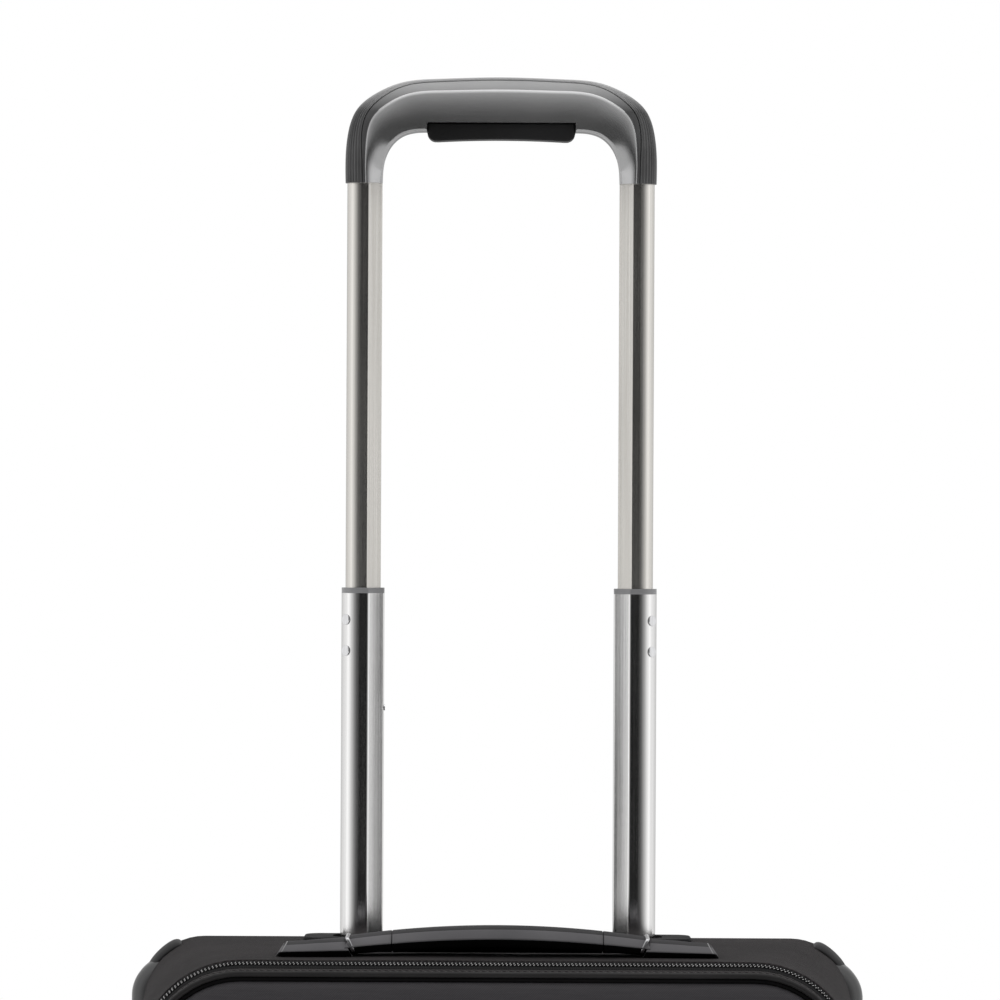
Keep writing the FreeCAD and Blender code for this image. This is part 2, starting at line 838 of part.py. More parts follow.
def make_lower_stage():
    """The middle tubes with their collars, rivets, lock holes and bottom plugs."""
    top = D.collar_top - D.collar_height
    tube = hollow_bar("mid_tube_blank", as_size(0), D.tube_wall, D.mid_tube_bottom, top)
    holes = [
        rod(
            "stop_hole",
            "Y",
            (TUBE_MIDDLE, D.tube_back - 3, D.lock_height - D.stop_pitch * count),
            5,
            D.lock_pin_radius + 0.3,
        )
        for count in range(int(DIMENSIONS["stop_count"]))
    ]
    keep_pair("mid_tube", cut("mid_tube", tube, *holes))
    flange = tube_core("collar_flange", as_size(0), top, D.collar_top)
    sleeve = tube_core("collar_sleeve", D.tube_wall + SEAT_GAP, D.sleeve_bottom, top)
    bore = tube_core("collar_bore", D.upper_tube_inset - 0.25, D.sleeve_bottom - 1, D.collar_top + 1)
    shape = fuse("collar_shape", flange, sleeve)
    keep("tube_collars", both_sides("tube_collars", cut("collar", shape, bore)))
    make_rivets()
    neck = tube_core("plug_neck", D.tube_wall + SEAT_GAP, D.mid_tube_bottom, D.mid_tube_bottom + 20)
    foot_ends = (D.mid_tube_bottom - 8, D.mid_tube_bottom - SEAT_GAP)
    foot = tube_core("plug_foot", RUNNING_GAP - D.outer_tube_gap, *foot_ends)
    stem = rod("plug_stem", "Z", (TUBE_MIDDLE, 76, D.mid_tube_bottom - 4), 8, 3)
    keep("mid_tube_plugs", both_sides("mid_tube_plugs", fuse("mid_plug", neck, foot, stem)))


def make_rivets():
    """Two domed rivets on each tube, and the stop stud on the left tube's inner edge."""
    bend = DIMENSIONS["tube_outer_side"] - CORNER_ROUNDS[1]
    centre_y = DIMENSIONS["tube_front"] + CORNER_ROUNDS[1]
    angle = math.radians(RIVET_TURN)
    outward = Vector(math.sin(angle), -math.cos(angle), 0)
    rivets = []
    for level in RIVET_LEVELS:
        start = Vector(bend, centre_y, level) + outward * (CORNER_ROUNDS[1] + 0.02)
        head = Part.makeCylinder(DIMENSIONS["rivet_radius"], 0.55, start, outward)
        crown = Part.makeSphere(DIMENSIONS["rivet_radius"] * 1.6, start - outward * 3.1)
        rivets.append(head.common(crown))
    left = [rivet.mirror(Vector(), Vector(1, 0, 0)) for rivet in rivets]
    stud_start = Vector(-DIMENSIONS["tube_inner_side"] + 0.02, 79.05, 689)
    stud = Part.makeCylinder(1.6, 0.47, stud_start, Vector(1, 0, 0))
    feature = doc.addObject("Part::Feature", "collar_rivets")
    feature.Shape = Part.makeCompound(rivets + left + [stud])
    keep("collar_rivets", feature)


def make_upper_stage_tubes():
    """The upper tubes, and the lock blocks at their lower ends."""
    socket = D.grip_leg_bottom + D.grip_socket_depth
    tube = hollow_bar(
        "upper_tube", D.upper_tube_inset, D.upper_tube_wall, D.upper_tube_bottom, socket
    )
    keep_pair("upper_tube", tube)
    inset = D.upper_tube_inset + D.upper_tube_wall + SEAT_GAP
    block = tube_core("lock_block", D.tube_wall + 0.3, D.lock_height - 12, D.upper_tube_bottom)
    neck = tube_core("lock_neck", inset, D.upper_tube_bottom, D.upper_tube_bottom + 16)
    pin_bore = rod(
        "pin_bore", "Y", (TUBE_MIDDLE, D.tube_front + 4, D.lock_height), 20, D.lock_pin_radius + 0.1
    )
    rod_bore = rod("rod_bore", "Z", (*ROD_PLACE, D.lock_height), 40, ROD_RADIUS + 0.3)
    blocks = cut("lock_block_cut", fuse("lock_block_shape", block, neck), pin_bore, rod_bore)
    keep("lock_blocks", both_sides("lock_blocks", blocks))
    pin = rod(
        "lock_pin", "Y", (TUBE_MIDDLE, D.tube_front + 6.5, D.lock_height), 5.0, D.lock_pin_radius
    )
    keep("lock_pins", both_sides("lock_pins", pin))


ROD_PLACE = (66.5, 77.6)
ROD_RADIUS = 1.3


# The grip's outer line: how far in from the side, how far below the top, and which way it faces
OUTER_ARCH = [
    (0.0, 54.9, 0),
    (0.9, 30.7, 5),
    (5.8, 16.7, 36),
    (16.5, 8.0, 56),
    (28.0, 3.1, 76),
    (48.0, 0.9, 86),
    (80.2, 0.0, 90),
]
# The grip's inner line, from a leg's foot to the middle: across, and above the foot
INNER_ARCH = [
    (61.2, 0.0),
    (60.0, 12.0),
    (56.4, 19.7),
    (51.0, 24.4),
    (44.5, 26.4),
    (36.0, 26.7),
    (0.0, 26.7),
]


def smooth_line(points):
    """One smooth curve through points given for the right-hand half, over to the left."""
    left = [Vector(-point.x, point.y) for point in reversed(points[:-1])]
    curve = Part.BSplineCurve()
    curve.interpolate(points + left)
    return curve


def arch_outline(inset):
    """The grip's outer line seen from the front, inset by a wall."""
    points = []
    for side, fall, facing in OUTER_ARCH:
        angle = math.radians(facing)
        x = DIMENSIONS["grip_half_width"] - side - inset * math.cos(angle)
        points.append(Vector(x, DIMENSIONS["grip_top"] - fall - inset * math.sin(angle)))
    return smooth_line(points)


def arch_inside():
    """The grip's inner line seen from the front."""
    return smooth_line([Vector(x, DIMENSIONS["grip_leg_bottom"] + up) for x, up in INNER_ARCH])


def arch_prism(name, outline, front, back):
    """An outline seen from the front, padded between two levels along Y."""
    body = new_body(name)
    sketch = sketch_on(body, f"{name}_outline", "Y", back)
    for piece in outline:
        sketch.addGeometry(piece)
    pad(body, sketch, as_size(back) - front)
    return body


def closed_arch(outer, inner):
    """Joins an outer and an inner line at the legs' feet."""
    first, last = (outer.StartPoint, outer.EndPoint)
    start, end = (inner.StartPoint, inner.EndPoint)
    return [outer, inner, Part.LineSegment(first, start), Part.LineSegment(last, end)]


def make_grip():
    """The arched grip shell, the ribbed band over it, and the release button under it."""
    front, back = D.grip_front, D.grip_front + D.grip_depth
    wall = DIMENSIONS["band_wall"]
    shell = arch_prism("grip_blank", closed_arch(arch_outline(wall), arch_inside()), front, back)
    round_edges(shell, shell.Tip, 1.4, long_rim)
    leg, depth = D.grip_leg_bottom, D.grip_socket_depth
    socket = tube_core("grip_socket", D.upper_tube_inset - SEAT_GAP, leg - 1, leg + depth + SEAT_GAP)
    rise = D.button_travel + 0.5
    bay_width = (-D.button_half_width - 0.4, D.button_half_width + 0.4)
    notch = box(
        "button_notch", bay_width, (front - 1, front + 3), (D.button_bottom - 2, D.button_top + 0.2)
    )
    button_bay = box(
        "button_bay", bay_width, (front + 2, back - 1.6), (D.button_bottom - 2, D.button_top + rise)
    )
    x, y = ROD_PLACE
    yoke_bay = box(
        "yoke_bay",
        (-x - 2, x + 2),
        (y - 1.9, y + 1.9),
        (leg + depth - 2, D.button_top + 3.4 + rise),
    )
    springs = [
        rod("spring_bay", "Z", (side, SPRING_BACK, D.button_top), 12.4, 3.9)
        for side in (-SPRING_SIDE, SPRING_SIDE)
    ]
    sockets = both_sides("grip_sockets", socket)
    keep("grip_shell", cut("grip_shell", shell, sockets, notch, button_bay, yoke_bay, *springs))
    band_outline = closed_arch(arch_outline(0), arch_outline(wall))
    band = arch_prism("grip_band_blank", band_outline, front + 1.5, back - 1.5)
    keep("grip_band", cut("grip_band", band, sockets))
    make_button(front, back)
    make_springs()


SPRING_SIDE = 22.0
SPRING_BACK = 72.3


def long_rim(edge):
    """Tests for the long rims of the grip's front and back faces."""
    return edge.BoundBox.YLength < 0.01 and edge.BoundBox.XLength > 100


def make_button(front, back):
    """The squeeze button, and the wire yoke that it lifts to free both lock pins."""
    half = D.button_half_width
    button = rounded_prism(
        "release_button",
        "Y",
        (-half, half),
        (D.button_bottom, D.button_top),
        (front + 2.4, back - 2),
        3.2,
    )
    keep("release_button", button)
    x, y = ROD_PLACE
    level = D.button_top + 0.1 + ROD_RADIUS
    bar = rod("yoke_bar", "X", (-x - ROD_RADIUS, y, level), 2 * (x + ROD_RADIUS), ROD_RADIUS)
    low = D.lock_height + 5
    leg = rod("yoke_leg", "Z", (x, y, low), level - low, ROD_RADIUS)
    keep("release_yoke", fuse("release_yoke", bar, leg, mirrored("yoke_leg_left", leg)))


def coil_spring(foot, turns, pitch, coil, wire):
    """A coil of six-sided wire, built up ring by ring from flat faces."""
    steps, sides = 14, 6
    rings = []
    for step in range(turns * steps + 1):
        angle = 2 * math.pi * step / steps
        outward = Vector(math.cos(angle), math.sin(angle), 0)
        middle = foot + outward * coil + Vector(0, 0, pitch * step / steps)
        ring = []
        for side in range(sides):
            turn = 2 * math.pi * side / sides
            ring.append(middle + outward * wire * math.cos(turn) + Vector(0, 0, wire * math.sin(turn)))
        rings.append(ring)
    faces = [flat_face(rings[0]), flat_face(rings[-1])]
    for ring, following in zip(rings, rings[1:]):
        for side in range(sides):
            along = (side + 1) % sides
            faces.append(flat_face([ring[side], ring[along], following[side]]))
            faces.append(flat_face([ring[along], following[along], following[side]]))
    shell = Part.makeShell(faces)
    shell.sewShape()
    solid = Part.makeSolid(shell)
    if solid.Volume < 0:
        solid.reverse()
    return solid


def flat_face(corners):
    return Part.Face(Part.makePolygon(corners + corners[:1]))


def make_springs():
    """Two coil springs that push the button back down."""
    low = DIMENSIONS["button_top"] + 0.4
    coils = []
    for side in (-SPRING_SIDE, SPRING_SIDE):
        foot = Vector(side, SPRING_BACK, low)
        coils.append(coil_spring(foot, turns=4, pitch=2.6, coil=3.0, wire=0.4))
    feature = doc.addObject("Part::Feature", "button_springs")
    feature.Shape = Part.makeCompound(coils)
    keep("button_springs", feature)


# ---------------------------------------------------------------- Wheels, housings and feet


def turned_disc(name, radius, width, edge_round=0):
    """A disc about the wheel's axle, with both rims rounded."""
    body = new_body(name)
    sketch = sketch_on(body, f"{name}_circle", "X", D.wheel_offset - as_size(width) / 2)
    centre = Vector(DIMENSIONS["wheel_axle_back"], DIMENSIONS["wheel_radius"])
    sketch.addGeometry(Part.Circle(centre, Vector(0, 0, 1), as_size(radius).value))
    rules = [
        (Sketcher.Constraint("Radius", 0, as_size(radius).value), "radius", radius),
        (Sketcher.Constraint("DistanceX", -1, 1, 0, 3, centre.x), "across", D.wheel_axle_back),
        (Sketcher.Constraint("DistanceY", -1, 1, 0, 3, centre.y), "rise", D.wheel_radius),
    ]
    for constraint, rule, value in rules:
        dimension(sketch, constraint, rule, value)
    feature = pad(body, sketch, width)
    if edge_round:
        round_edges(body, feature, edge_round, lambda edge: edge.BoundBox.XLength < 0.01)
    return body


def bearing(name, start):
    ring = rod(f"{name}_ring", "X", start, D.bearing_width, D.bearing_radius - SEAT_GAP)
    bore = (start[0] - 1, start[1], start[2])
    hole = rod(f"{name}_hole", "X", bore, D.bearing_width + 2, D.axle_radius + 0.05)
    return cut(name, ring, hole)


def make_wheels():
    """Each wheel: a tyre on a hub with five windows, turning on two ball bearings."""
    tyre = turned_disc("tyre_disc", D.wheel_radius, D.wheel_width, 6)
    hub_space = turned_disc("tyre_bore", D.hub_radius + SEAT_GAP, D.wheel_width + 2)
    keep_pair("tyre", cut("tyre", tyre, hub_space))
    hub = turned_disc("hub_disc", D.hub_radius, D.wheel_width - 1, 1.2)
    bore = turned_disc("hub_bore", D.bearing_radius, D.wheel_width + 2)
    windows = []
    for count in range(5):
        angle = math.radians(72 * count)
        y = D.wheel_axle_back + 17.3 * math.sin(angle)
        z = D.wheel_radius + 17.3 * math.cos(angle)
        windows.append(rod("hub_window", "X", (D.wheel_offset - 20, y, z), 40, 4.2))
    spacer = turned_disc("hub_spacer", D.bearing_radius, D.wheel_width - 1 - 2 * D.bearing_width - 0.2)
    spacer_bore = turned_disc("spacer_bore", as_size(7), D.wheel_width)
    shape = fuse("hub_shape", cut("hub_rim", hub, bore, *windows), cut("spacer", spacer, spacer_bore))
    keep_pair("wheel_hub", shape)
    half = (D.wheel_width - 1) / 2
    inner = (D.wheel_offset - half, D.wheel_axle_back, D.wheel_radius)
    outer = (D.wheel_offset + half - D.bearing_width, D.wheel_axle_back, D.wheel_radius)
    pair = group("wheel_bearings", bearing("bearing_inner", inner), bearing("bearing_outer", outer))
    keep_pair("wheel_bearings", pair)


def make_housings():
    """The moulded corner housings, the axle bolts through them, and their flanges and screws."""
    block = rounded_prism(
        "housing_block",
        "X",
        (D.housing_front, D.housing_back),
        (D.housing_bottom, D.housing_top),
        (D.housing_inner, D.housing_outer),
        18,
        5,
        D.housing_outer,
    )
    well_width = D.wheel_width + 4
    wheel_space = turned_disc("wheel_space", D.wheel_radius + 3.5, well_width)
    flange = rounded_prism(
        "housing_flange",
        "Z",
        (136, 182),
        (14, D.housing_front + 12),
        (D.case_floor - 4, D.case_floor - SEAT_GAP),
        6,
    )
    holes = [
        rod("flange_hole", "Z", (x, y, D.case_floor - 6), 8, D.screw_radius)
        for x, y in HOUSING_SCREWS
    ]
    axle_hole = rod(
        "axle_hole", "X", (D.housing_inner - 1, D.wheel_axle_back, D.wheel_radius), 60, D.axle_radius
    )
    counterbore = rod(
        "axle_counterbore",
        "X",
        (D.housing_outer - 3, D.wheel_axle_back, D.wheel_radius),
        6,
        as_size(7.5),
    )
    pocket = box(
        "housing_pocket",
        (D.housing_inner + 3, D.housing_outer - 4),
        (D.housing_front + 3, D.case_back - 5),
        (D.wheel_radius + 42, D.housing_top - 3),
    )
    shape = fuse("housing_shape", cut("housing_hollowed", block, pocket), flange)
    housing = cut("wheel_housing", shape, wheel_space, axle_hole, counterbore, *holes)
    keep_pair("wheel_housing", housing)
    shank_start = (D.housing_inner + 2, D.wheel_axle_back, D.wheel_radius)
    shank_length = D.housing_outer - D.housing_inner - 5
    shank = rod("axle_shank", "X", shank_start, shank_length, D.axle_radius - 0.03)
    head_start = (D.housing_outer - 3, D.wheel_axle_back, D.wheel_radius)
    head = rod("axle_head", "X", head_start, 2.4, as_size(7))
    key = turned_hexagon("axle_key", D.housing_outer - 2.2, 3.0)
    bolt = cut("wheel_axle", fuse("axle_shape", shank, head), key)
    keep("wheel_axles", both_sides("wheel_axles", bolt))


def turned_hexagon(name, start, across):
    """The hexagon key socket in the axle bolt's head."""
    prism = doc.addObject("Part::Prism", name)
    prism.Polygon = 6
    prism.Circumradius = across
    prism.Height = 5
    return place(prism, start, D.wheel_axle_back, D.wheel_radius, AXIS_TURN["X"])


def make_feet():
    """The two tapered feet at the front, with the screws that hold feet and housings."""
    body = new_body("foot_taper")
    shrink = 5
    across, along = (D.foot_inner, D.foot_outer), (D.foot_front, D.foot_back)
    low_across = (across[0] + shrink, across[1] - shrink)
    low_along = (along[0] + shrink, along[1] - shrink)
    top = sketch_on(body, "foot_top", "Z", D.case_floor - SEAT_GAP)
    rounded_rectangle(top, across, along, 9)
    bottom = sketch_on(body, "foot_bottom", "Z", 0)
    rounded_rectangle(bottom, low_across, low_along, 7)
    loft = body.newObject("PartDesign::AdditiveLoft", "foot_loft")
    loft.Profile = top
    loft.Sections = [bottom]
    loft.Ruled = True
    recesses = []
    screws = []
    for x, y in FOOT_SCREWS:
        recesses.append(rod("foot_recess", "Z", (x, y, -1), 31, D.screw_head_radius + 0.3))
        recesses.append(rod("foot_hole", "Z", (x, y, 20), 30, D.screw_radius))
        screws.append(screw((x, y, 30), 16.5))
    foot = cut("front_foot", body, *recesses)
    keep_pair("front_foot", foot)
    for x, y in HOUSING_SCREWS:
        screws.append(screw((x, y, D.case_floor - 4), 10.5))
    return both_sides("foot_and_housing_screws", group("screws_right", *screws))


def screw(seat, length):
    """A pan-head screw that stands up from its seat, with the head below."""
    x, y, z = seat
    shank = rod("screw_shank", "Z", (x, y, z), length - 5, D.screw_radius)
    head = rod("screw_head", "Z", (x, y, as_size(z) - 2.2), 2.2, D.screw_head_radius)
    return fuse("screw", shank, head)


# ---------------------------------------------------------------- Carry handles


LINK_LEAN = 0.467  # How far a link leans outwards for each millimetre that it rises


def lean_side(height, offset=0):
    """Where the leaning link's middle stands across the case, at a height above its top."""
    return D.cap_inner + 0.75 + offset + (height - 10.9) * LINK_LEAN


def make_top_cap(envelope):
    """The right-hand end cap of the top handle, seated on the case."""
    body = new_body("top_cap")
    sketch = sketch_on(body, "top_cap_side", "Y", D.top_handle_centre + D.carry_half_depth)
    points = [
        (lean_side(-6, 1.05), D.rim_top - 6),
        (D.cap_outer, D.rim_top - 6),
        (D.cap_outer - 1.5, D.rim_top + 6.8),
        (lean_side(9.4, 1.05), D.rim_top + 9.4),
    ]
    polygon(sketch, points)
    pad(body, sketch, D.carry_half_depth * 2)
    high = DIMENSIONS["rim_top"] + 6
    round_edges(body, body.Tip, 2.5, lambda edge: edge.BoundBox.ZMin > high)
    return cut("top_cap_seated", body, envelope)


def make_top_handle():
    """The arched handle between its two caps, with a bright leaning link at each end."""
    envelope = case_block("cap_seat", 0, D.case_back, D.rim_plane)
    keep_pair("top_handle_cap", make_top_cap(envelope))
    depth = D.carry_half_depth * 2 - 1.2
    back = D.top_handle_centre + D.carry_half_depth - 0.6
    link = new_body("top_link")
    sketch = sketch_on(link, "top_link_side", "Y", back)
    corners = [(0.8, -1.0), (0.8, 1.0), (10.4, 1.0), (10.4, -1.0)]
    polygon(sketch, [(lean_side(up, off), D.rim_top + up) for up, off in corners])
    pad(link, sketch, depth)
    keep("top_handle_links", both_sides("top_handle_links", link))
    top = DIMENSIONS["rim_top"]
    high_end = lean_side(10, -1.35).value
    low_end = lean_side(1.8, -1.35).value
    upper = Part.Arc(Vector(-high_end, top + 10), Vector(0, top + 16), Vector(high_end, top + 10))
    lower = Part.Arc(Vector(low_end, top + 1.8), Vector(0, top + 6.3), Vector(-low_end, top + 1.8))
    outline = [
        upper,
        Part.LineSegment(upper.EndPoint, lower.StartPoint),
        lower,
        Part.LineSegment(lower.EndPoint, upper.StartPoint),
    ]
    grip = arch_prism("top_handle_grip", outline, back - depth, back)
    round_edges(grip, grip.Tip, 2.4, lambda e: e.BoundBox.XLength > 50 and e.BoundBox.ZMin > top + 6.5)
    keep("top_handle_grip", grip)


def make_side_handle():
    """The flat handle on the right side, between two moulded caps."""
    envelope = case_block("side_cap_seat", 0, D.case_back, D.rim_plane)
    across = (
        D.side_handle_centre - D.carry_half_depth,
        D.side_handle_centre + D.carry_half_depth,
    )
    strap_across = (across[0] + 1, across[1] - 1)
    middle = D.side_handle_level
    strap = (D.side_handle_face - 5, D.side_handle_face)
    ends = (middle - D.cap_inner + 1.5, middle + D.cap_inner - 1.5)
    grip = rounded_prism("side_handle_grip", "X", strap_across, ends, strap, 8, 1.8, strap[1])
    keep("side_handle_grip", grip)
    caps = []
    seat = (D.rim_half_width - 4, D.side_handle_face)
    for low in (middle - D.cap_outer, middle + D.cap_inner):
        rise = (low, low + D.cap_outer - D.cap_inner)
        cap = rounded_prism("side_cap", "X", across, rise, seat, 5, 1.8, seat[1])
        caps.append(cut("side_cap_seated", cap, envelope))
    keep("side_handle_caps", group("side_handle_caps", *caps))


# ---------------------------------------------------------------- The whole case


def check_and_write():
    """Stops at the first broken object, then writes each sub-part's file."""
    doc.recompute()
    for thing in doc.Objects:
        if any(state in ("Invalid", "Error") for state in thing.State):
            raise RuntimeError(f"{thing.Name} ({thing.Label}) is in state {thing.State}")
    os.makedirs("parts", exist_ok=True)
    for name in sorted(os.listdir("parts")):
        if name.endswith(".step") and name[:-5] not in nodes:
            os.remove(os.path.join("parts", name))
    for node, thing in nodes.items():
        shape = thing.Shape
        if shape.isNull() or not shape.isValid() or not shape.Solids:
            raise RuntimeError(f"{node} has no valid solid")
        shape.exportStep(f"parts/{node}.step")


fill_sheet()
make_case_layers()
make_rear_piping()
make_corner_guards()
make_lid()
make_sliders()
bracket_screws = make_outer_tubes()
make_bezel()
make_lower_stage()
make_upper_stage_tubes()
make_grip()
make_wheels()
make_housings()
keep("base_screws", group("base_screws", make_feet(), *bracket_screws))
make_top_handle()
make_side_handle()
check_and_write()
print(f"{len(nodes)} sub-parts")
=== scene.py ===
from math import copysign, cos, pi, radians, sin, sqrt

import bpy
import bmesh
import numpy as np
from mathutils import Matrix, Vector, noise


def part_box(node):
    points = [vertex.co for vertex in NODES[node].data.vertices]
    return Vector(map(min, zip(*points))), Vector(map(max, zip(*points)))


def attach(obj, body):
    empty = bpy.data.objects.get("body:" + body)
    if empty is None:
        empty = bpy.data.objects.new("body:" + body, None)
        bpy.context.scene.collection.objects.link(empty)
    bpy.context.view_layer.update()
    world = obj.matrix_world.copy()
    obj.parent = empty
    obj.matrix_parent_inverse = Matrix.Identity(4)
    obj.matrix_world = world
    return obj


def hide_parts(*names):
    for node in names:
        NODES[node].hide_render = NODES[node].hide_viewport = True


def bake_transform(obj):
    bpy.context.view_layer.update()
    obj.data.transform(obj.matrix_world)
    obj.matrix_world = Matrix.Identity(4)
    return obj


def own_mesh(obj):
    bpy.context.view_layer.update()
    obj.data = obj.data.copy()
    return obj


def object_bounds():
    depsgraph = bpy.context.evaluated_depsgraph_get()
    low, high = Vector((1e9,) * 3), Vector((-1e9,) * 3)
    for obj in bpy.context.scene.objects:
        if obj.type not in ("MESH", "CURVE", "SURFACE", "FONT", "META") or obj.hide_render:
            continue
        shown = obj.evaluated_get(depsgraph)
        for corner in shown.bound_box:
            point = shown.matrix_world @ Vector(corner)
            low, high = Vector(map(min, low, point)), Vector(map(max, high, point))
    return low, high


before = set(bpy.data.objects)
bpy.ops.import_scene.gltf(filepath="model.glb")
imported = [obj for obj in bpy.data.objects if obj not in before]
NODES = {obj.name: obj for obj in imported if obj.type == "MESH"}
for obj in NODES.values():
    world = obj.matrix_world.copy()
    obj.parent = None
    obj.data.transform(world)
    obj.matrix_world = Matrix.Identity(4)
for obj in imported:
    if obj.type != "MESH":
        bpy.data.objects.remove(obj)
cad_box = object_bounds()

MM = 0.001
SIDES = ((-1, "left"), (1, "right"))

# Fine parts, in millimetres
STITCH_PITCH = 3.3
STITCH_LENGTH = 2.5
STITCH_RADIUS = 0.24
WELT_SIDES = 12
TOOTH_PITCH = 1.9
TOOTH_LEAN = 0.32
TOOTH_RADIUS = 0.22


# ---------------------------------------------------------------- Meshes


def cad(node):
    """A CAD node's lowest and highest corner, in millimetres."""
    low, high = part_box(node)
    return low / MM, high / MM


def metres(point):
    return tuple(value * MM for value in point)


def show(name, data):
    """A new object in the scene."""
    made = bpy.data.objects.new(name, data)
    bpy.context.scene.collection.objects.link(made)
    return made


def unwrap(mesh, around=None):
    """Lays the weave out in metres: round the sides where that is given, and flat elsewhere."""
    layer = mesh.uv_layers.new(name="Cloth")
    for face in mesh.polygons:
        normal = face.normal
        corners = [(loop, mesh.loops[loop].vertex_index) for loop in face.loop_indices]
        if around is not None and abs(normal.y) < 0.7:
            runs = [around[vertex] for _, vertex in corners]
            wraps = max(runs) - min(runs) > around.max() * 0.5
            for (loop, vertex), run in zip(corners, runs):
                run = run + around.max() if wraps and run < around.max() * 0.5 else run
                layer.data[loop].uv = (run * MM, mesh.vertices[vertex].co.y)
            continue
        across, up = (0, 2)
        if abs(normal.x) > max(abs(normal.y), abs(normal.z)):
            across = 1
        elif abs(normal.z) > abs(normal.y):
            up = 1
        for loop, vertex in corners:
            place = mesh.vertices[vertex].co
            layer.data[loop].uv = (place[across], place[up])


def build(name, points, faces, around=None):
    """A closed, smooth-shaded mesh object from points in millimetres."""
    mesh = bpy.data.meshes.new(name)
    mesh.from_pydata([tuple(p) for p in np.asarray(points, float) * MM], [], faces)
    work = bmesh.new()
    work.from_mesh(mesh)
    bmesh.ops.recalc_face_normals(work, faces=work.faces)
    work.to_mesh(mesh)
    work.free()
    mesh.shade_smooth()
    unwrap(mesh, around)
    return show(name, mesh)


def skin(name, rings, around=None, closed=False):
    """A surface through rings of points. Its ends are filled unless the last ring joins the first."""
    rings = np.asarray(rings, float)
    count, width = rings.shape[:2]
    points = list(rings.reshape(-1, 3))
    faces = []
    for row in range(count if closed else count - 1):
        low, high = row * width, (row + 1) % count * width
        for column in range(width):
            after = (column + 1) % width
            faces.append((low + column, low + after, high + after, high + column))
    if not closed:
        for start, ring in ((0, rings[0]), ((count - 1) * width, rings[-1])):
            points.append(ring.mean(0))
            for column in range(width):
                after = (column + 1) % width
                faces.append((start + column, start + after, len(points) - 1))
    if around is not None:
        spare = len(points) - count * width
        around = np.concatenate([np.tile(around, count), np.zeros(spare)])
    return build(name, points, faces, around)


def rounded_loop(half, low, high, radius, across=30, up=40, bend=12):
    """A rounded rectangle seen from the front, from the middle of its lower edge."""
    side, bottom, top = half - radius, low + radius, high - radius
    arcs = []
    for x, z, start in ((side, bottom, -90), (side, top, 0), (-side, top, 90), (-side, bottom, 180)):
        angles = [radians(start + 90 * step / bend) for step in range(bend + 1)]
        arcs.append([(x + radius * cos(angle), z + radius * sin(angle)) for angle in angles])
    points = []
    for arc, after, count in zip(arcs, arcs[1:] + arcs[:1], (up, across) * 2):
        points += arc
        for step in range(1, count):
            points.append([mix(ends, step / count) for ends in zip(arc[-1], after[0])])
    return np.roll(np.array(points), across // 2, axis=0)


def knots_of(line):
    """How far along a line each of its points lies."""
    return np.concatenate([[0], np.cumsum(np.linalg.norm(np.diff(line, axis=0), axis=1))])


def at_level(loop, level):
    """A flat loop's points at a level along Y."""
    return np.column_stack([loop[:, 0], np.full(len(loop), level), loop[:, 1]])


def inset_loop(half, low, high, corner, inset):
    """A rounded rectangle seen from the front, inset by a wall."""
    return rounded_loop(half - inset, low + inset, high - inset, max(corner - inset, 1.0))


def mix(ends, share):
    """A value between two others, at a share of the way."""
    return ends[0] + (ends[1] - ends[0]) * share


def bulge(value, power):
    """Raises a share to a power and keeps its sign."""
    return copysign(abs(value) ** power, value)


def smooth_step(value):
    """Eases a share in and out, and holds it between 0 and 1."""
    value = min(max(value, 0.0), 1.0)
    return value * value * (3 - 2 * value)


def unit(rows):
    """Rows of numbers, each scaled to a length of one."""
    return rows / np.linalg.norm(rows, axis=1)[:, None]


def directions(loop):
    """The direction of a closed line at each of its points."""
    return unit(np.roll(loop, -1, axis=0) - np.roll(loop, 1, axis=0))


def read_line(line, knots, places):
    """A line's points at places between its knots."""
    return np.column_stack([np.interp(places, knots, column) for column in line.T])


def resample(line, pitch, closed=True):
    """Points a pitch apart along a line, with the line's direction at each."""
    line = np.asarray(line, float)
    if closed:
        line = np.vstack([line, line[:1]])
    knots = knots_of(line)
    count = max(int(knots[-1] / pitch), 2)
    places = np.linspace(0, knots[-1], count, endpoint=not closed)
    along = read_line(line, knots, places + 0.2) - read_line(line, knots, places - 0.2)
    return read_line(line, knots, places), unit(along)


def resample_to(line, count):
    """A line with a set number of points."""
    return read_line(line, np.arange(len(line)), np.linspace(0, len(line) - 1, count))


def capsule(length, radius, sides=6):
    """A short round-ended rod along X, as points and faces."""
    half = length / 2
    stations = [(-half, 0.45), (-half + radius * 0.5, 1), (half - radius * 0.5, 1), (half, 0.45)]
    angles = [2 * pi * side / sides for side in range(sides)]
    points = [(-half - radius * 0.2, 0, 0)]
    for x, share in stations:
        points += [(x, radius * share * cos(angle), radius * share * sin(angle)) for angle in angles]
    points.append((half + radius * 0.2, 0, 0))
    faces = []
    for side in range(sides):
        after = (side + 1) % sides
        faces.append((0, 1 + after, 1 + side))
        for low in range(1, 1 + 3 * sides, sides):
            high = low + sides
            faces.append((low + side, low + after, high + after, high + side))
        faces.append((high + side, high + after, len(points) - 1))
    return np.array(points), faces


def strew(name, starts, ends, radius):
    """One mesh of small round-ended rods, each between its own two points."""
    points, faces = [], []
    for start, end in zip(starts, ends):
        along = end - start
        rod_points, rod_faces = capsule(np.linalg.norm(along), radius)
        turn = np.array(Vector(along).to_track_quat("X", "Z").to_matrix())
        first = len(points) * len(rod_points)
        points.append(rod_points @ turn.T + (start + end) / 2)
        faces += [tuple(first + corner for corner in face) for face in rod_faces]
    return build(name, np.vstack(points), faces)


def stitches(name, line, body):
    """A row of stitches laid round a closed line."""
    points, along = resample(line, STITCH_PITCH)
    half = along * STITCH_LENGTH / 2
    return finish_piece(strew(name, points - half, points + half, STITCH_RADIUS), "stitch", body)


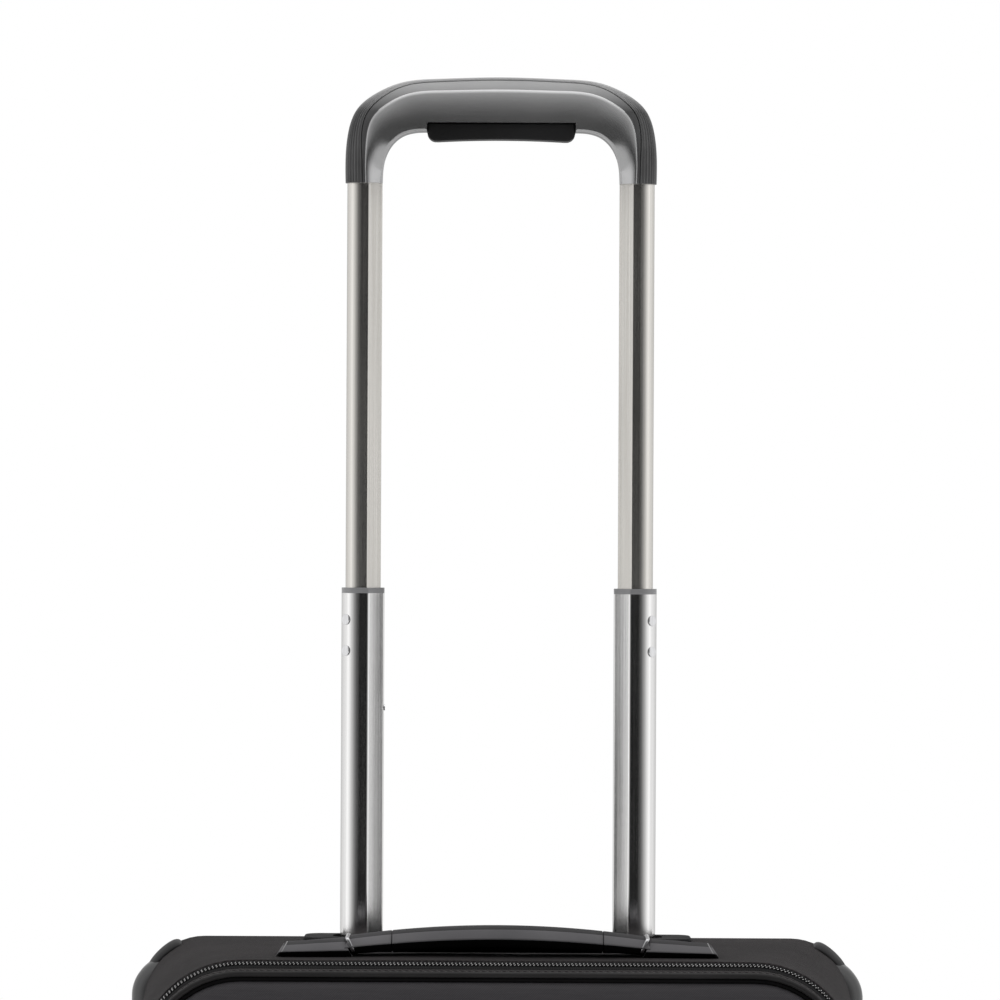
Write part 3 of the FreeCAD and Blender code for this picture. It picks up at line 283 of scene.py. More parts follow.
def tube_along(name, line, radius):
    """A round welt along a closed line of points."""
    depth = np.array([0, 1.0, 0])
    out = unit(np.cross(directions(line), depth))
    angles = 2 * np.pi * np.arange(WELT_SIDES) / WELT_SIDES
    rings = []
    for place, outward in zip(line, out):
        turn = np.cos(angles)[:, None] * outward + np.sin(angles)[:, None] * depth
        rings.append(place + radius * turn)
    return skin(name, rings, closed=True)


def wire(name, points, radius):
    """A round wire along points in millimetres, as a mesh."""
    line = bpy.data.curves.new("wire", "CURVE")
    line.dimensions = "3D"
    line.bevel_depth = radius * MM
    line.bevel_resolution = 3
    line.use_fill_caps = True
    run = line.splines.new("POLY")
    run.points.add(len(points) - 1)
    for point, place in zip(run.points, points):
        point.co = (*metres(place), 1)
    holder = show("wire", line)
    bpy.context.view_layer.update()
    mesh = bpy.data.meshes.new_from_object(holder)
    mesh.shade_smooth()
    bpy.data.objects.remove(holder)
    return show(name, mesh)


def carve(piece, *boxes):
    """Cuts boxes, each given by its two corners, out of a piece."""
    for low, high in boxes:
        cutter = block_mesh("cutter", low, high)
        change = piece.modifiers.new("carve", "BOOLEAN")
        change.operation = "DIFFERENCE"
        change.solver = "EXACT"
        change.object = cutter
        settle(piece)
        bpy.data.objects.remove(cutter)
    return piece


def block_mesh(name, low, high):
    """A box given by its two corners."""
    (x0, y0, z0), (x1, y1, z1) = low, high
    corners = [(x, y, z) for x in (x0, x1) for y in (y0, y1) for z in (z0, z1)]
    faces = [(0, 1, 3, 2), (4, 6, 7, 5), (0, 4, 5, 1), (2, 3, 7, 6), (0, 2, 6, 4), (1, 5, 7, 3)]
    return build(name, corners, faces)


def settle(piece):
    """Makes a piece's modifiers part of its mesh."""
    scene_graph = bpy.context.evaluated_depsgraph_get()
    mesh = bpy.data.meshes.new_from_object(piece.evaluated_get(scene_graph))
    piece.modifiers.clear()
    old = piece.data
    piece.data = mesh
    bpy.data.meshes.remove(old)


def displace(piece, change):
    """Moves each vertex along its normal by a distance in millimetres."""
    mesh = piece.data
    normals = [vertex.normal.copy() for vertex in mesh.vertices]
    for vertex, normal in zip(mesh.vertices, normals):
        vertex.co += normal * change(vertex.co / MM, normal) * MM


def finish_piece(piece, material, body, replaces=()):
    """Gives a piece its material and its body, and hides the CAD nodes that it stands for."""
    piece.data.materials.clear()
    piece.data.materials.append(MATERIALS[material])
    for face in piece.data.polygons:
        face.material_index = 0
    if body:
        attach(piece, body)
    if replaces:
        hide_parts(*replaces)
    return piece


# ---------------------------------------------------------------- Materials


class Nodes:
    """A node tree, built up node by node."""

    def __init__(self, tree):
        self.tree = tree

    def node(self, kind, settings=None, inputs=None):
        """A new node. An input is either another node's output or a plain value."""
        made = self.tree.nodes.new(kind)
        for setting, value in (settings or {}).items():
            setattr(made, setting, value)
        for socket, value in (inputs or {}).items():
            if isinstance(value, bpy.types.NodeSocket):
                self.tree.links.new(value, made.inputs[socket])
            else:
                made.inputs[socket].default_value = value
        return made


class Finish(Nodes):
    """One procedural material."""

    def __init__(self, name, sockets):
        self.material = bpy.data.materials.new(name)
        self.material.use_nodes = True
        super().__init__(self.material.node_tree)
        self.shader = self.tree.nodes["Principled BSDF"]
        for socket, value in sockets.items():
            self.shader.inputs[socket].default_value = value

    def place(self, source, scale=(1, 1, 1), turn=0.0):
        """Texture coordinates in metres, on the mesh or along the cloth."""
        coordinates = self.node("ShaderNodeTexCoord").outputs[source]
        mapping = {"Vector": coordinates, "Scale": scale, "Rotation": (0, 0, turn)}
        return self.node("ShaderNodeMapping", None, mapping).outputs["Vector"]

    def noise(self, vector, scale, detail=3.0):
        inputs = {"Vector": vector, "Scale": scale, "Detail": detail}
        return self.node("ShaderNodeTexNoise", None, inputs).outputs["Fac"]

    def wave(self, vector, scale, direction="X", distortion=0.0):
        settings = {"bands_direction": direction, "wave_profile": "SIN"}
        inputs = {"Vector": vector, "Scale": scale, "Distortion": distortion, "Detail": 1.0}
        return self.node("ShaderNodeTexWave", settings, inputs).outputs["Fac"]

    def calc(self, operation, first, second):
        inputs = {0: first, 1: second}
        return self.node("ShaderNodeMath", {"operation": operation}, inputs).outputs[0]

    def remap(self, value, low, high, start=0.0, end=1.0):
        inputs = {"Value": value, "From Min": start, "From Max": end, "To Min": low, "To Max": high}
        return self.node("ShaderNodeMapRange", None, inputs).outputs["Result"]

    def colour(self, share, dark, light):
        """Goes from one colour to the other as share goes from 0 to 1."""
        inputs = {0: share, 6: (*dark, 1), 7: (*light, 1)}
        return self.node("ShaderNodeMix", {"data_type": "RGBA"}, inputs).outputs[2]

    def surface(self, colour, rough, height, depth, strength=1.0):
        """Joins up the shader: its colour, its roughness, and a bump from a height."""
        inputs = {"Height": height, "Distance": depth, "Strength": strength}
        bump = self.node("ShaderNodeBump", None, inputs).outputs["Normal"]
        for socket, value in (("Base Color", colour), ("Roughness", rough), ("Normal", bump)):
            self.tree.links.new(value, self.shader.inputs[socket])
        return self.material


WAVE_PERIOD = 0.31416  # A wave texture of scale 1 repeats after this many units


def weave_finish(name, dark, light, pitch, depth, roughness=0.8, sheen=0.03, angle=0.785):
    """Woven cloth: diagonal ribs broken by the threads that cross them, slightly uneven."""
    finish = Finish(name, {"Sheen Weight": sheen, "Sheen Roughness": 0.5, "Specular IOR Level": 0.12})
    ribs = finish.wave(finish.place("UV", turn=angle), WAVE_PERIOD / pitch, "X", 0.25)
    threads = finish.wave(finish.place("UV", turn=angle), 2 * WAVE_PERIOD / pitch, "Y", 0.25)
    height = finish.calc("MULTIPLY", ribs, finish.remap(threads, 0.35, 1.0))
    clouds = finish.noise(finish.place("UV"), 9.0, 4.0)
    slubs = finish.noise(finish.place("UV", (60, 900, 60)), 1.0, 2.0)
    tone = finish.calc("ADD", finish.remap(clouds, -0.25, 0.25), finish.remap(slubs, -0.3, 0.3))
    share = finish.calc("ADD", finish.remap(height, 0.1, 0.9), tone)
    colour = finish.colour(share, dark, light)
    rough = finish.remap(height, roughness + 0.12, roughness - 0.08)
    return finish.surface(colour, rough, height, depth)


def moulded_finish(
    name, dark, light, roughness, sockets=None, grain=1800.0, depth=0.00006, wear=1.0
):
    """Moulded plastic or rubber: a fine grain, slow colour changes and faint rubbed patches."""
    finish = Finish(name, sockets or {})
    place = finish.place("Object")
    pits = finish.noise(place, grain, 2.0)
    clouds = finish.noise(place, 14.0, 5.0)
    rubbed = finish.noise(finish.place("Object", (40, 40, 160)), 1.0, 4.0)
    colour = finish.colour(finish.remap(clouds, 0.0, 1.0, 0.3, 0.7), dark, light)
    rough = finish.remap(rubbed, roughness - 0.07 * wear, roughness + 0.09 * wear, 0.3, 0.7)
    return finish.surface(colour, rough, pits, depth, 0.6)


def brushed_finish(name, dark, light, roughness, streak=(1400, 1400, 7), depth=0.00001, coat=0.0):
    """Metal brushed along its length, with slow changes in how much it shines."""
    finish = Finish(name, {"Metallic": 1.0, "Coat Weight": coat})
    lines = finish.noise(finish.place("Object", streak), 1.0, 3.0)
    wear = finish.noise(finish.place("Object", (30, 30, 9)), 1.0, 5.0)
    colour = finish.colour(finish.remap(lines, 0.1, 0.9, 0.25, 0.75), dark, light)
    change = finish.calc("ADD", finish.remap(lines, -0.05, 0.05), finish.remap(wear, -0.05, 0.06))
    rough = finish.calc("ADD", change, roughness)
    return finish.surface(colour, rough, lines, depth, 0.5)


def tape_finish(name):
    """Zipper tape: narrow upright ribs crossed by fine herringbone threads."""
    finish = Finish(name, {"Specular IOR Level": 0.1})
    ribs = finish.wave(finish.place("UV"), WAVE_PERIOD / 0.0009, "X")
    cross = finish.wave(finish.place("UV", turn=0.6), WAVE_PERIOD / 0.0007, "Y", 0.4)
    height = finish.calc("MULTIPLY", ribs, cross)
    patches = finish.noise(finish.place("UV"), 30.0)
    share = finish.calc("MULTIPLY", height, patches)
    colour = finish.colour(share, (0.006, 0.006, 0.0065), (0.035, 0.034, 0.035))
    rough = finish.remap(height, 0.85, 0.7)
    return finish.surface(colour, rough, height, 0.0002)


def band_finish(name):
    """The grip's ribbed band: dark on the legs, with painted light making it paler over the top, where
    light falls on it from above.
    """
    finish = Finish(name, {"Coat Weight": 0.4, "Coat Roughness": 0.22})
    place = finish.place("Object")
    height = finish.node("ShaderNodeSeparateXYZ", None, {0: place}).outputs["Z"]
    # Painted light: the band's colour gets paler towards the grip's top
    top = cad("grip_band")[1].z * MM
    painted_top_light = finish.remap(height, 0.0, 1.0, top - 0.018, top - 0.004)
    clouds = finish.noise(place, 60.0, 4.0)
    share = finish.calc("ADD", finish.calc("MULTIPLY", painted_top_light, 0.9), finish.remap(clouds, -0.06, 0.1))
    colour = finish.colour(share, (0.055, 0.055, 0.056), (0.54, 0.54, 0.542))
    pits = finish.noise(place, 3000.0, 2.0)
    rough = finish.remap(clouds, 0.36, 0.52)
    return finish.surface(colour, rough, pits, 0.00002, 0.6)


def shine(level):
    return {"Specular IOR Level": level}


GLOSS = {"Coat Weight": 0.5, "Coat Roughness": 0.12, "Specular IOR Level": 0.3}

# Woven cloth: its two colours, its ribs' pitch and depth in metres, roughness, sheen, and angle
WOVEN = {
    "fabric_black": ((0.0025, 0.002, 0.0022), (0.0575, 0.0505, 0.052), 0.0024, 0.0004),
    "fabric_panel": ((0.042, 0.0395, 0.043), (0.072, 0.068, 0.073), 0.0008, 0.00005, 0.6),
    "lining_grey": ((0.13, 0.13, 0.135), (0.27, 0.27, 0.28), 0.0022, 0.0002, 0.65, 0.05, 0.0),
}
# Mouldings: their two colours, roughness, other sockets, grain, its depth in metres, and wear
MOULDED = {
    "handle_soft": ((0.082, 0.08, 0.085), (0.138, 0.134, 0.14), 0.6, shine(0.2), 2600.0, 0.00004),
    # Painted shade: the handles' tops, darker than their front facets
    "handle_top_shade": ((0.026, 0.025, 0.0265), (0.045, 0.0435, 0.046), 0.65, shine(0.1), 2600.0, 0.00004),
    # Painted highlight: the thin light line on the caps' slanted ends
    "painted_edge_highlight": ((0.15, 0.148, 0.15), (0.24, 0.237, 0.24), 0.4, None, 2600.0, 0.00002),
    "welt_black": (
        (0.007, 0.0064, 0.0066), (0.019, 0.0175, 0.018), 0.55, shine(0.25), 2200.0, 0.00008
    ),
    # Painted shadow: near-black for the handles' undercuts and the groove behind the lid's welt
    "underside": (
        (0.004, 0.0038, 0.004), (0.009, 0.0086, 0.009), 0.8, shine(0.03), 2200.0, 0.0001
    ),
    "stitch": ((0.02, 0.0195, 0.0205), (0.055, 0.053, 0.056), 0.6, None, 3000.0, 0.0001),
    "frame_board": ((0.06, 0.06, 0.063), (0.1, 0.1, 0.105), 0.5),
    "moulded_black": ((0.011, 0.011, 0.0115), (0.026, 0.0255, 0.0265), 0.5, shine(0.22)),
    "guard_gloss": ((0.029, 0.029, 0.0296), (0.051, 0.051, 0.052), 0.33, GLOSS, 900.0, 0.00001),
    "collar_smoke": ((0.2, 0.2, 0.204), (0.34, 0.34, 0.346), 0.22, GLOSS, 1200.0, 0.00001),
    "grip_grey": (
        (0.42, 0.42, 0.422), (0.48, 0.48, 0.482), 0.255, {"Metallic": 0.92}, 1600.0, 0.000001, 0.15
    ),
    "button_black": ((0.006, 0.006, 0.0062), (0.014, 0.014, 0.0145), 0.5, shine(0.22), 2600.0, 0.00004),
    "bezel_black": ((0.009, 0.009, 0.0095), (0.022, 0.0215, 0.0225), 0.62, shine(0.08)),
    "wheel_hub": ((0.05, 0.05, 0.053), (0.095, 0.095, 0.1), 0.4),
    "tyre": ((0.012, 0.012, 0.0125), (0.035, 0.034, 0.035), 0.62),
    "teeth": ((0.3, 0.295, 0.295), (0.62, 0.61, 0.61), 0.3, None, 2500.0, 0.00001),
}
# Metals: their two colours, roughness, the streaks' scale, and their depth in metres
BRUSHED = {
    "tube_mid": ((0.74, 0.735, 0.73), (0.84, 0.835, 0.83), 0.13),
    "tube_upper": ((0.64, 0.62, 0.585), (0.74, 0.72, 0.685), 0.24),
    "tube_inner": ((0.42, 0.42, 0.43), (0.58, 0.58, 0.59), 0.38),
    "steel": ((0.42, 0.42, 0.43), (0.6, 0.6, 0.61), 0.3, (300, 300, 300)),
    "chrome": ((0.66, 0.66, 0.67), (0.82, 0.82, 0.83), 0.1, (90, 900, 90)),
    "slider_metal": ((0.16, 0.16, 0.165), (0.32, 0.32, 0.33), 0.3, (500, 500, 500), 0.00003),
}


def make_materials():
    """Every finish, by name. The names follow the record's slots where there is one."""
    finishes = {"zipper_tape": tape_finish("zipper_tape"), "grip_rubber": band_finish("grip_rubber")}
    for make, table in (
        (weave_finish, WOVEN),
        (moulded_finish, MOULDED),
        (brushed_finish, BRUSHED),
    ):
        for name, values in table.items():
            finishes[name] = make(name, *values)
    return finishes


# Which CAD nodes take each finish, by how their names start. All others are parts of zippers.
NODE_FINISHES = {
    "frame_board": ("frame_shell",),
    "bezel_black": ("handle_bezel",),
    "tube_inner": ("outer_tube",),
    "moulded_black": (
        "tube_foot", "wheel_housing", "front_foot", "side_handle_caps", "mid_tube_plugs", "lock_blocks"
    ),
    "steel": ("base_screws", "wheel_axles", "release_yoke", "lock_pins", "wheel_bearings"),
    "guard_gloss": ("corner_guard",),
    "chrome": ("collar_rivets",),
    "tube_mid": ("mid_tube_left", "mid_tube_right"),
    "collar_smoke": ("tube_collars",),
    "tube_upper": ("upper_tube",),
    "wheel_hub": ("wheel_hub",),
    "tyre": ("tyre",),
}


def dress_nodes():
    """Gives every CAD node its material."""
    for name, piece in NODES.items():
        fitting = [finish for finish, starts in NODE_FINISHES.items() if name.startswith(starts)]
        material = MATERIALS[fitting[0] if fitting else "slider_metal"]
        if not piece.data.materials:
            piece.data.materials.append(material)
        for slot in piece.material_slots:
            slot.material = material


# ---------------------------------------------------------------- The case


# All sizes are in millimetres. Half the front rim's width, the corners of the outline at the rim
# and at the back, and the rounding of the back edge
RIM_HALF = 178.0
RIM_CORNER = 52.0
BACK_CORNER = 30.0
BACK_ROUND = 8.0
# How many rings a layer of the case has along its depth and over its back
DEPTH_RINGS = 34
BACK_RINGS = 9
# The lining lies inside the cover and the frame shell
COVER_WALL = 2.0
LINING_WALL = 0.8
LINING_INSET = 4.4
# The handle's well: half its width, from where to where along Y, and its floor
WELL_HALF = 91.0
WELL_BAND = (60.5, 91.5)
WELL_FLOOR = 540
# Where the wheel housings start, and places past the case's side and back
HOUSING_FRONT = 38.0
PAST_SIDE = 220
PAST_BACK = 140
CUT_GAP = 0.3
# The rear welt: its radius, and how far and in which direction it lies from the middle of the
# back edge's rounding
WELT_RADIUS = 2.6
WELT_REACH = BACK_ROUND + 2.7
WELT_TURN = radians(75)
# The shoulder pads: from where to where they bend round a corner, and how far they stand out
PAD_START = 27.0
PAD_END = 66.0
PAD_RISE = 3.2
PAD_STEPS = 24
# The cover stays smooth round the handle's well: behind this place and above this height
FIRM_BACK = 60
FIRM_HEIGHT = 560


def cover_loop(half, corner, inset):
    low, high = cad("outer_cover")
    return inset_loop(half, low.z, high.z, corner, inset)


def case_loop(level, inset=0.0):
    """The case's outline at a level along Y, inset by a wall."""
    low, high = cad("outer_cover")
    share = (high.y - level) / (high.y - low.y)
    return cover_loop(mix((high.x, RIM_HALF), share), mix((BACK_CORNER, RIM_CORNER), share), inset)


def shell_rings(front, back, inset, edge_round):
    """Rings from the front rim to the middle of the back, on one layer of the case."""
    levels = np.linspace(front, back - edge_round, DEPTH_RINGS)
    rings = [at_level(case_loop(y, inset), y) for y in levels]
    for step in range(1, 7):
        angle = radians(15 * step)
        y = back - edge_round + edge_round * sin(angle)
        extra = edge_round * (1 - cos(angle))
        rings.append(at_level(case_loop(y, inset + extra), y))
    middle = RIM_HALF - BACK_CORNER
    for step in range(1, BACK_RINGS + 1):
        extra = mix((edge_round, middle), (step / BACK_RINGS) ** 1.3)
        rings.append(at_level(case_loop(back, inset + extra), back))
    return rings


def make_shell(name, front, back, inset, wall, edge_round):
    """A hollow layer of the case: an outside, an inside, and a rim that joins them."""
    outside = shell_rings(front, back, inset, edge_round)
    inside = shell_rings(front, back - wall, inset + wall, max(edge_round - wall, 0.5))
    around = knots_of(case_loop(back, inset))
    return skin(name, outside[::-1] + inside, around)


def ripple(place, amount, size):
    """How far a soft surface moves at a place: an amount, over waves of a size."""
    return amount * noise.noise(place / size)


def openings():
    """The handle's well and the wheel housings, as boxes to cut from the case's layers."""
    top = cad("handle_bezel")[1].z + 20
    low, high = cad("wheel_housing_right")
    near = (-WELL_HALF - CUT_GAP, WELL_BAND[0] - CUT_GAP, WELL_FLOOR)
    boxes = [(near, (WELL_HALF + CUT_GAP, WELL_BAND[1] + CUT_GAP, top))]
    for side, _ in SIDES:
        start, end = sorted((side * (low.x - CUT_GAP), side * PAST_SIDE))
        boxes.append(((start, HOUSING_FRONT - CUT_GAP, 0), (end, PAST_BACK, high.z + CUT_GAP)))
    return boxes


def make_cover():
    """The fabric cover, a little uneven, with the handle's well and the housings cut out."""
    low, high = cad("outer_cover")
    cover = make_shell("outer_cover_cloth", low.y, high.y, 0.0, COVER_WALL, BACK_ROUND)

    def soften(place, _):
        if place.y > FIRM_BACK and place.z > FIRM_HEIGHT:
            return 0.0
        return ripple(place, 0.45, 70) + ripple(place + Vector((90, 0, 0)), 0.2, 24)

    displace(cover, soften)
    carve(cover, *openings())
    finish_piece(cover, "fabric_black", "case", ["outer_cover"])


def make_lining():
    """The cloth inside the case, which only the housings cut into."""
    low, high = cad("lining")
    lining = make_shell("lining_cloth", low.y + 0.4, high.y, LINING_INSET, LINING_WALL, 4.0)
    displace(lining, lambda place, _: ripple(place, 0.12, 45))
    carve(lining, *openings()[1:])
    finish_piece(lining, "lining_grey", "case", ["lining"])


def make_rear_welt():
    """The welt along the back edge, broken at the wheel housings."""
    back = cad("outer_cover")[1].y
    inset = BACK_ROUND - WELT_REACH * cos(WELT_TURN)
    level = back - BACK_ROUND + WELT_REACH * sin(WELT_TURN)
    welt = tube_along("rear_welt", at_level(case_loop(back, inset), level), WELT_RADIUS)
    carve(welt, *openings()[1:])
    finish_piece(welt, "welt_black", "case", ["rear_piping"])


def pad_ring(share, low, high, side, corner, centre):
    """One ring of a shoulder pad, at a share of the way round its corner of the case."""
    angle = radians(mix((PAD_START, PAD_END), share))
    end = sqrt(max(1 - abs(2 * share - 1) ** 6, 0.02))
    middle = (low.y + high.y) / 2
    half = (high.y - low.y) / 2 * (0.72 + 0.28 * end)
    rise = PAD_RISE * end
    ring = []
    for turn in range(28):
        bend = 2 * pi * turn / 28
        up = sin(bend)
        radius = corner - 0.5 + ((rise + 0.7) * up if up > 0 else 1.4 * up)
        x = side * (centre[0] + radius * cos(angle))
        y = middle + bulge(cos(bend), 0.85) * half
        ring.append((x, y, centre[1] + radius * sin(angle)))
    return ring


def make_shoulder_pads():
    """The small moulded bumpers on the case's upper rear corners, round-ended and crowned."""
    low, high = cad("shoulder_pads")
    outline = case_loop((low.y + high.y) / 2)
    half_width, top = outline.max(0)
    corner = top - outline[outline[:, 0] > half_width - 0.01].max(0)[1]
    centre = (half_width - corner, top - corner)
    for side, name in SIDES:
        shares = [step / PAD_STEPS for step in range(PAD_STEPS + 1)]
        rings = [pad_ring(share, low, high, side, corner, centre) for share in shares]
        pad = skin(f"shoulder_pad_{name}", rings)
        replaced = ["shoulder_pads"] if side < 0 else []
        finish_piece(pad, "moulded_black", "case", replaced)


# ---------------------------------------------------------------- The lid and the main zipper


# How far the lid's side lies inside the rim, and how thick it is
LID_INSET = 3.4
LID_WALL = 2.6
# How many points the zipper's lines have, and how high above the floor they end
TRACK_POINTS = 180
ZIP_FOOT = 74.0
TAPE_THICKNESS = 0.9
LID_WELT_RADIUS = 1.5
POCKET_CORNER = 26
# The middle of the lid's flat part is left plain within this distance of its centre
PLAIN_MIDDLE = 45


def lid_loop(inset):
    return cover_loop(RIM_HALF, RIM_CORNER, inset)


def lid_face(inset, edge, shares, level):
    """Flat rings inside the lid, each a share of the way from its middle to an edge strip."""
    reach = RIM_HALF - inset - PLAIN_MIDDLE
    return [at_level(lid_loop(inset + edge + reach * (1 - share)), level) for share in shares]


def lid_side(inset, places):
    """Rings down the lid's side, each at a further inset and a level along Y."""
    return [at_level(lid_loop(inset + extra), level) for extra, level in places]


def make_lid_cloth():
    """The lid's tray: a fabric side and front with a wall's thickness."""
    low, high = cad("lid_panel")
    shares = [0.0, 0.12, 0.3, 0.5, 0.75, 0.97]
    inner = low.y + LID_WALL
    rings = lid_face(LID_INSET, 8, shares, low.y)
    bend = ((4.5, 0.0), (3.0, 0.15), (1.6, 0.8), (0.6, 1.9), (0.1, 3.4))
    rings += lid_side(LID_INSET, [(extra, low.y + forward) for extra, forward in bend])
    rings += lid_side(LID_INSET, [(0.0, y) for y in np.linspace(low.y + 5.5, high.y, 5)])
    rings += lid_side(LID_INSET, [(LID_WALL, y) for y in np.linspace(high.y, inner + 2, 5)])
    rings += lid_side(LID_INSET, [(LID_WALL + 2.0, inner)])
    rings += lid_face(LID_INSET, 8, shares[::-1], inner)
    lid = skin("lid_cloth", rings, knots_of(lid_loop(LID_INSET)))
    finish_piece(lid, "fabric_black", "lid", ["lid_panel"])


def make_lid_lining():
    """A thin lining laid inside the lid's tray."""
    low, high = cad("lid_panel")
    inset = LID_INSET + LID_WALL + 0.15
    shares = [0.0, 0.2, 0.45, 0.7, 0.97]
    top = high.y - 0.6
    rings = lid_face(inset, 5, shares, low.y + 2.8)
    rings += lid_side(inset, [(1.0, low.y + 2.9), (0.0, low.y + 4.2), (0.0, top)])
    rings += lid_side(inset, [(0.6, top), (0.6, low.y + 4.6), (1.5, low.y + 3.6)])
    rings += lid_face(inset, 5, shares[::-1], low.y + 3.5)
    lining = skin("lid_lining", rings, knots_of(lid_loop(inset)))
    finish_piece(lining, "lining_grey", "lid")


def ribbon(name, tracks, thickness):
    """A strip of cloth through parallel tracks, with a thickness, as a closed form."""
    over = np.stack(tracks, axis=1)
    along = np.gradient(over.mean(1), axis=0)
    normal = unit(np.cross(along, over[:, -1] - over[:, 0]))
    under = over[:, ::-1] - normal[:, None, :] * thickness
    return skin(name, np.concatenate([over, under], axis=1))


def zip_track(inset, level, foot=ZIP_FOOT):
    """A line along the sides and top of the opening, down to a level."""
    loop = lid_loop(inset)
    return resample_to(at_level(loop[loop[:, 1] > foot], level), TRACK_POINTS)


def hinge_track(inset, level, foot):
    """A line along the bottom of the opening, from left to right."""
    loop = lid_loop(inset)
    loop = np.roll(loop, len(loop) // 2, axis=0)
    return at_level(loop[loop[:, 1] <= foot], level)


def make_hinge():
    """The strip of cloth that joins the lid to the case along the bottom, and bends there."""
    floor = cad("outer_cover")[0].z
    across = [
        (-0.75, -79.5), (-0.7, -83.0), (-0.2, -84.8), (0.7, -86.4),
        (1.6, -88.0), (2.2, -89.6), (2.5, -91.5), (2.6, -97.5),
    ]
    tracks = [resample_to(hinge_track(*place, floor + 6.5), TRACK_POINTS) for place in across]
    strip = ribbon("lid_hinge_strip", tracks, 0.7)
    finish_piece(strip, "fabric_black", None)
    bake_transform(strip)


def tooth_row(name, outer, inner, body, lean):
    """A row of zipper teeth, each from a tape's line to its tip and leaning along the row."""
    ends, along = resample(outer, TOOTH_PITCH, closed=False)
    tips, _ = resample(inner, TOOTH_PITCH, closed=False)
    count = min(len(ends), len(tips))
    shift = along[:count] * lean
    teeth = strew(name, ends[:count] + shift, tips[:count] - shift, TOOTH_RADIUS)
    finish_piece(teeth, "teeth", body)


def make_zipper():
    """Both halves of the main zipper: a tape on each side, and a row of teeth on each."""
    foot = cad("outer_cover")[0].z + 6.0
    for body, across in (
        ("case", [(0.2, -83.5), (0.55, -85.6), (1.6, -88.0)]),
        ("lid", [(2.1, -88.35), (3.0, -91.0), (3.3, -94.5)]),
    ):
        tracks = [zip_track(*place, foot) for place in across]
        tape = ribbon(f"{body}_zipper_tape", tracks, TAPE_THICKNESS)
        finish_piece(tape, "zipper_tape", body, [f"{body}_zipper_chain"])
    for body, outer, inner in (
        ("case", (0.7, -87.3), (1.15, -88.0)),
        ("lid", (1.75, -89.0), (1.35, -88.3)),
    ):
        name = f"{body}_zipper_teeth"
        tooth_row(name, zip_track(*outer), zip_track(*inner), body, TOOTH_LEAN)


def make_lid_welt():
    """The welt round the lid's front edge, and a dark strip beside it that paints the shadow in the
    groove between the welt and the front panel.
    """
    low, high = cad("lid_piping")
    loop = at_level(lid_loop(LID_INSET + 1.8), (low.y + high.y) / 2)
    welt = tube_along("lid_welt", loop, LID_WELT_RADIUS)
    finish_piece(welt, "welt_black", "lid", ["lid_piping"])
    # Painted shadow: a near-black strip laid in the groove below the welt
    shadow_strip = tube_along("lid_welt_shadow_strip", at_level(lid_loop(LID_INSET + 4.3), low.y + 2.6), 1.3)
    finish_piece(shadow_strip, "underside", "lid")


def pad_rings(outline, back, front, crown, edge):
    """Rings over a padded panel, from the middle of its back to the middle of its front."""
    half = outline[0]

    def ring(inset, level):
        return at_level(inset_loop(*outline, inset), level)

    def rise(inset):
        share = 1 - (1 - min(inset / edge, 1.0)) ** 2
        depth = back + (front - back) * sqrt(max(share, 0.0))
        return depth - crown * sin(pi / 2 * min(inset / (half * 0.9), 1.0))

    insets = [0, 0.3, 0.8, 1.5, 2.5, 4, 6, 9, 13, 18, 25, 35, 48, 64, 82, 102, 124, half - 2]
    insets = [inset for inset in insets if inset <= half - 2]
    rings = [ring(inset, back) for inset in insets[::-3]] + [ring(0, back)]
    rings += [ring(0, back + (front - back) * 0.2)]
    return rings + [ring(inset, rise(inset)) for inset in insets[1:]]


def make_front_panel():
    """The padded front panel: only its front is uneven."""
    low, high = cad("front_panel")
    outline = (high.x, low.z, high.z, RIM_CORNER - 9)
    rings = pad_rings(outline, high.y, low.y + 0.6, 0.9, 5.0)
    panel = skin("front_panel_pad", rings)

    def soften(place, normal):
        if normal.y > -0.5:
            return 0.0
        return ripple(place, 0.35, 85) + ripple(place + Vector((0, 0, 300)), 0.12, 30)

    displace(panel, soften)
    finish_piece(panel, "fabric_panel", "lid", ["front_panel"])


def make_front_pocket():
    """The padded pocket on the front panel, with two rows of stitches round it."""
    low, high = cad("front_pocket")
    outline = (high.x, low.z, high.z, POCKET_CORNER)
    rings = pad_rings(outline, high.y, low.y + 0.8, 1.6, 6.0)
    pocket = skin("front_pocket_pad", rings)
    displace(pocket, lambda place, normal: ripple(place, 0.5, 75) if normal.y < -0.5 else 0.0)
    finish_piece(pocket, "fabric_panel", "lid", ["front_pocket"])
    for name, inset, sink in (("inner", 7.0, 0.35), ("outer", 4.2, 0.55)):
        loop = at_level(inset_loop(*outline, inset), low.y + sink)
        stitches(f"front_pocket_stitch_{name}", loop, "lid")


def make_pocket_zippers():
    """Two short zippers on the front panel: a tape, and two rows of teeth that meet."""
    low, high = cad("pocket_zipper_chains")
    panel = cad("front_panel")[0].y
    above_pocket = cad("front_pocket")[1].z + 5.0
    for name, half, level, front in (
        ("front_pocket", 130.0, above_pocket, low.y),
        ("upper_pocket", 126.0, high.z - 2.5, panel - 0.6),
    ):
        xs = np.linspace(-half, half, 60)

        def track(lift, depth):
            return np.column_stack([xs, np.full_like(xs, depth), np.full_like(xs, level + lift)])

        across = [(-4.5, panel), (-1, front + 0.4), (1, front + 0.4), (4.5, panel)]
        tape = ribbon(f"{name}_zipper_tape", [track(*place) for place in across], 0.6)
        replaced = ["pocket_zipper_chains"] if name == "front_pocket" else []
        finish_piece(tape, "zipper_tape", "lid", replaced)
        for side, row in ((1, "upper"), (-1, "lower")):
            outer, inner = track(1.6 * side, front + 0.2), track(0.1 * side, front)
            tooth_row(f"{name}_zipper_teeth_{row}", outer, inner, "lid", -TOOTH_LEAN)


# ---------------------------------------------------------------- The grip


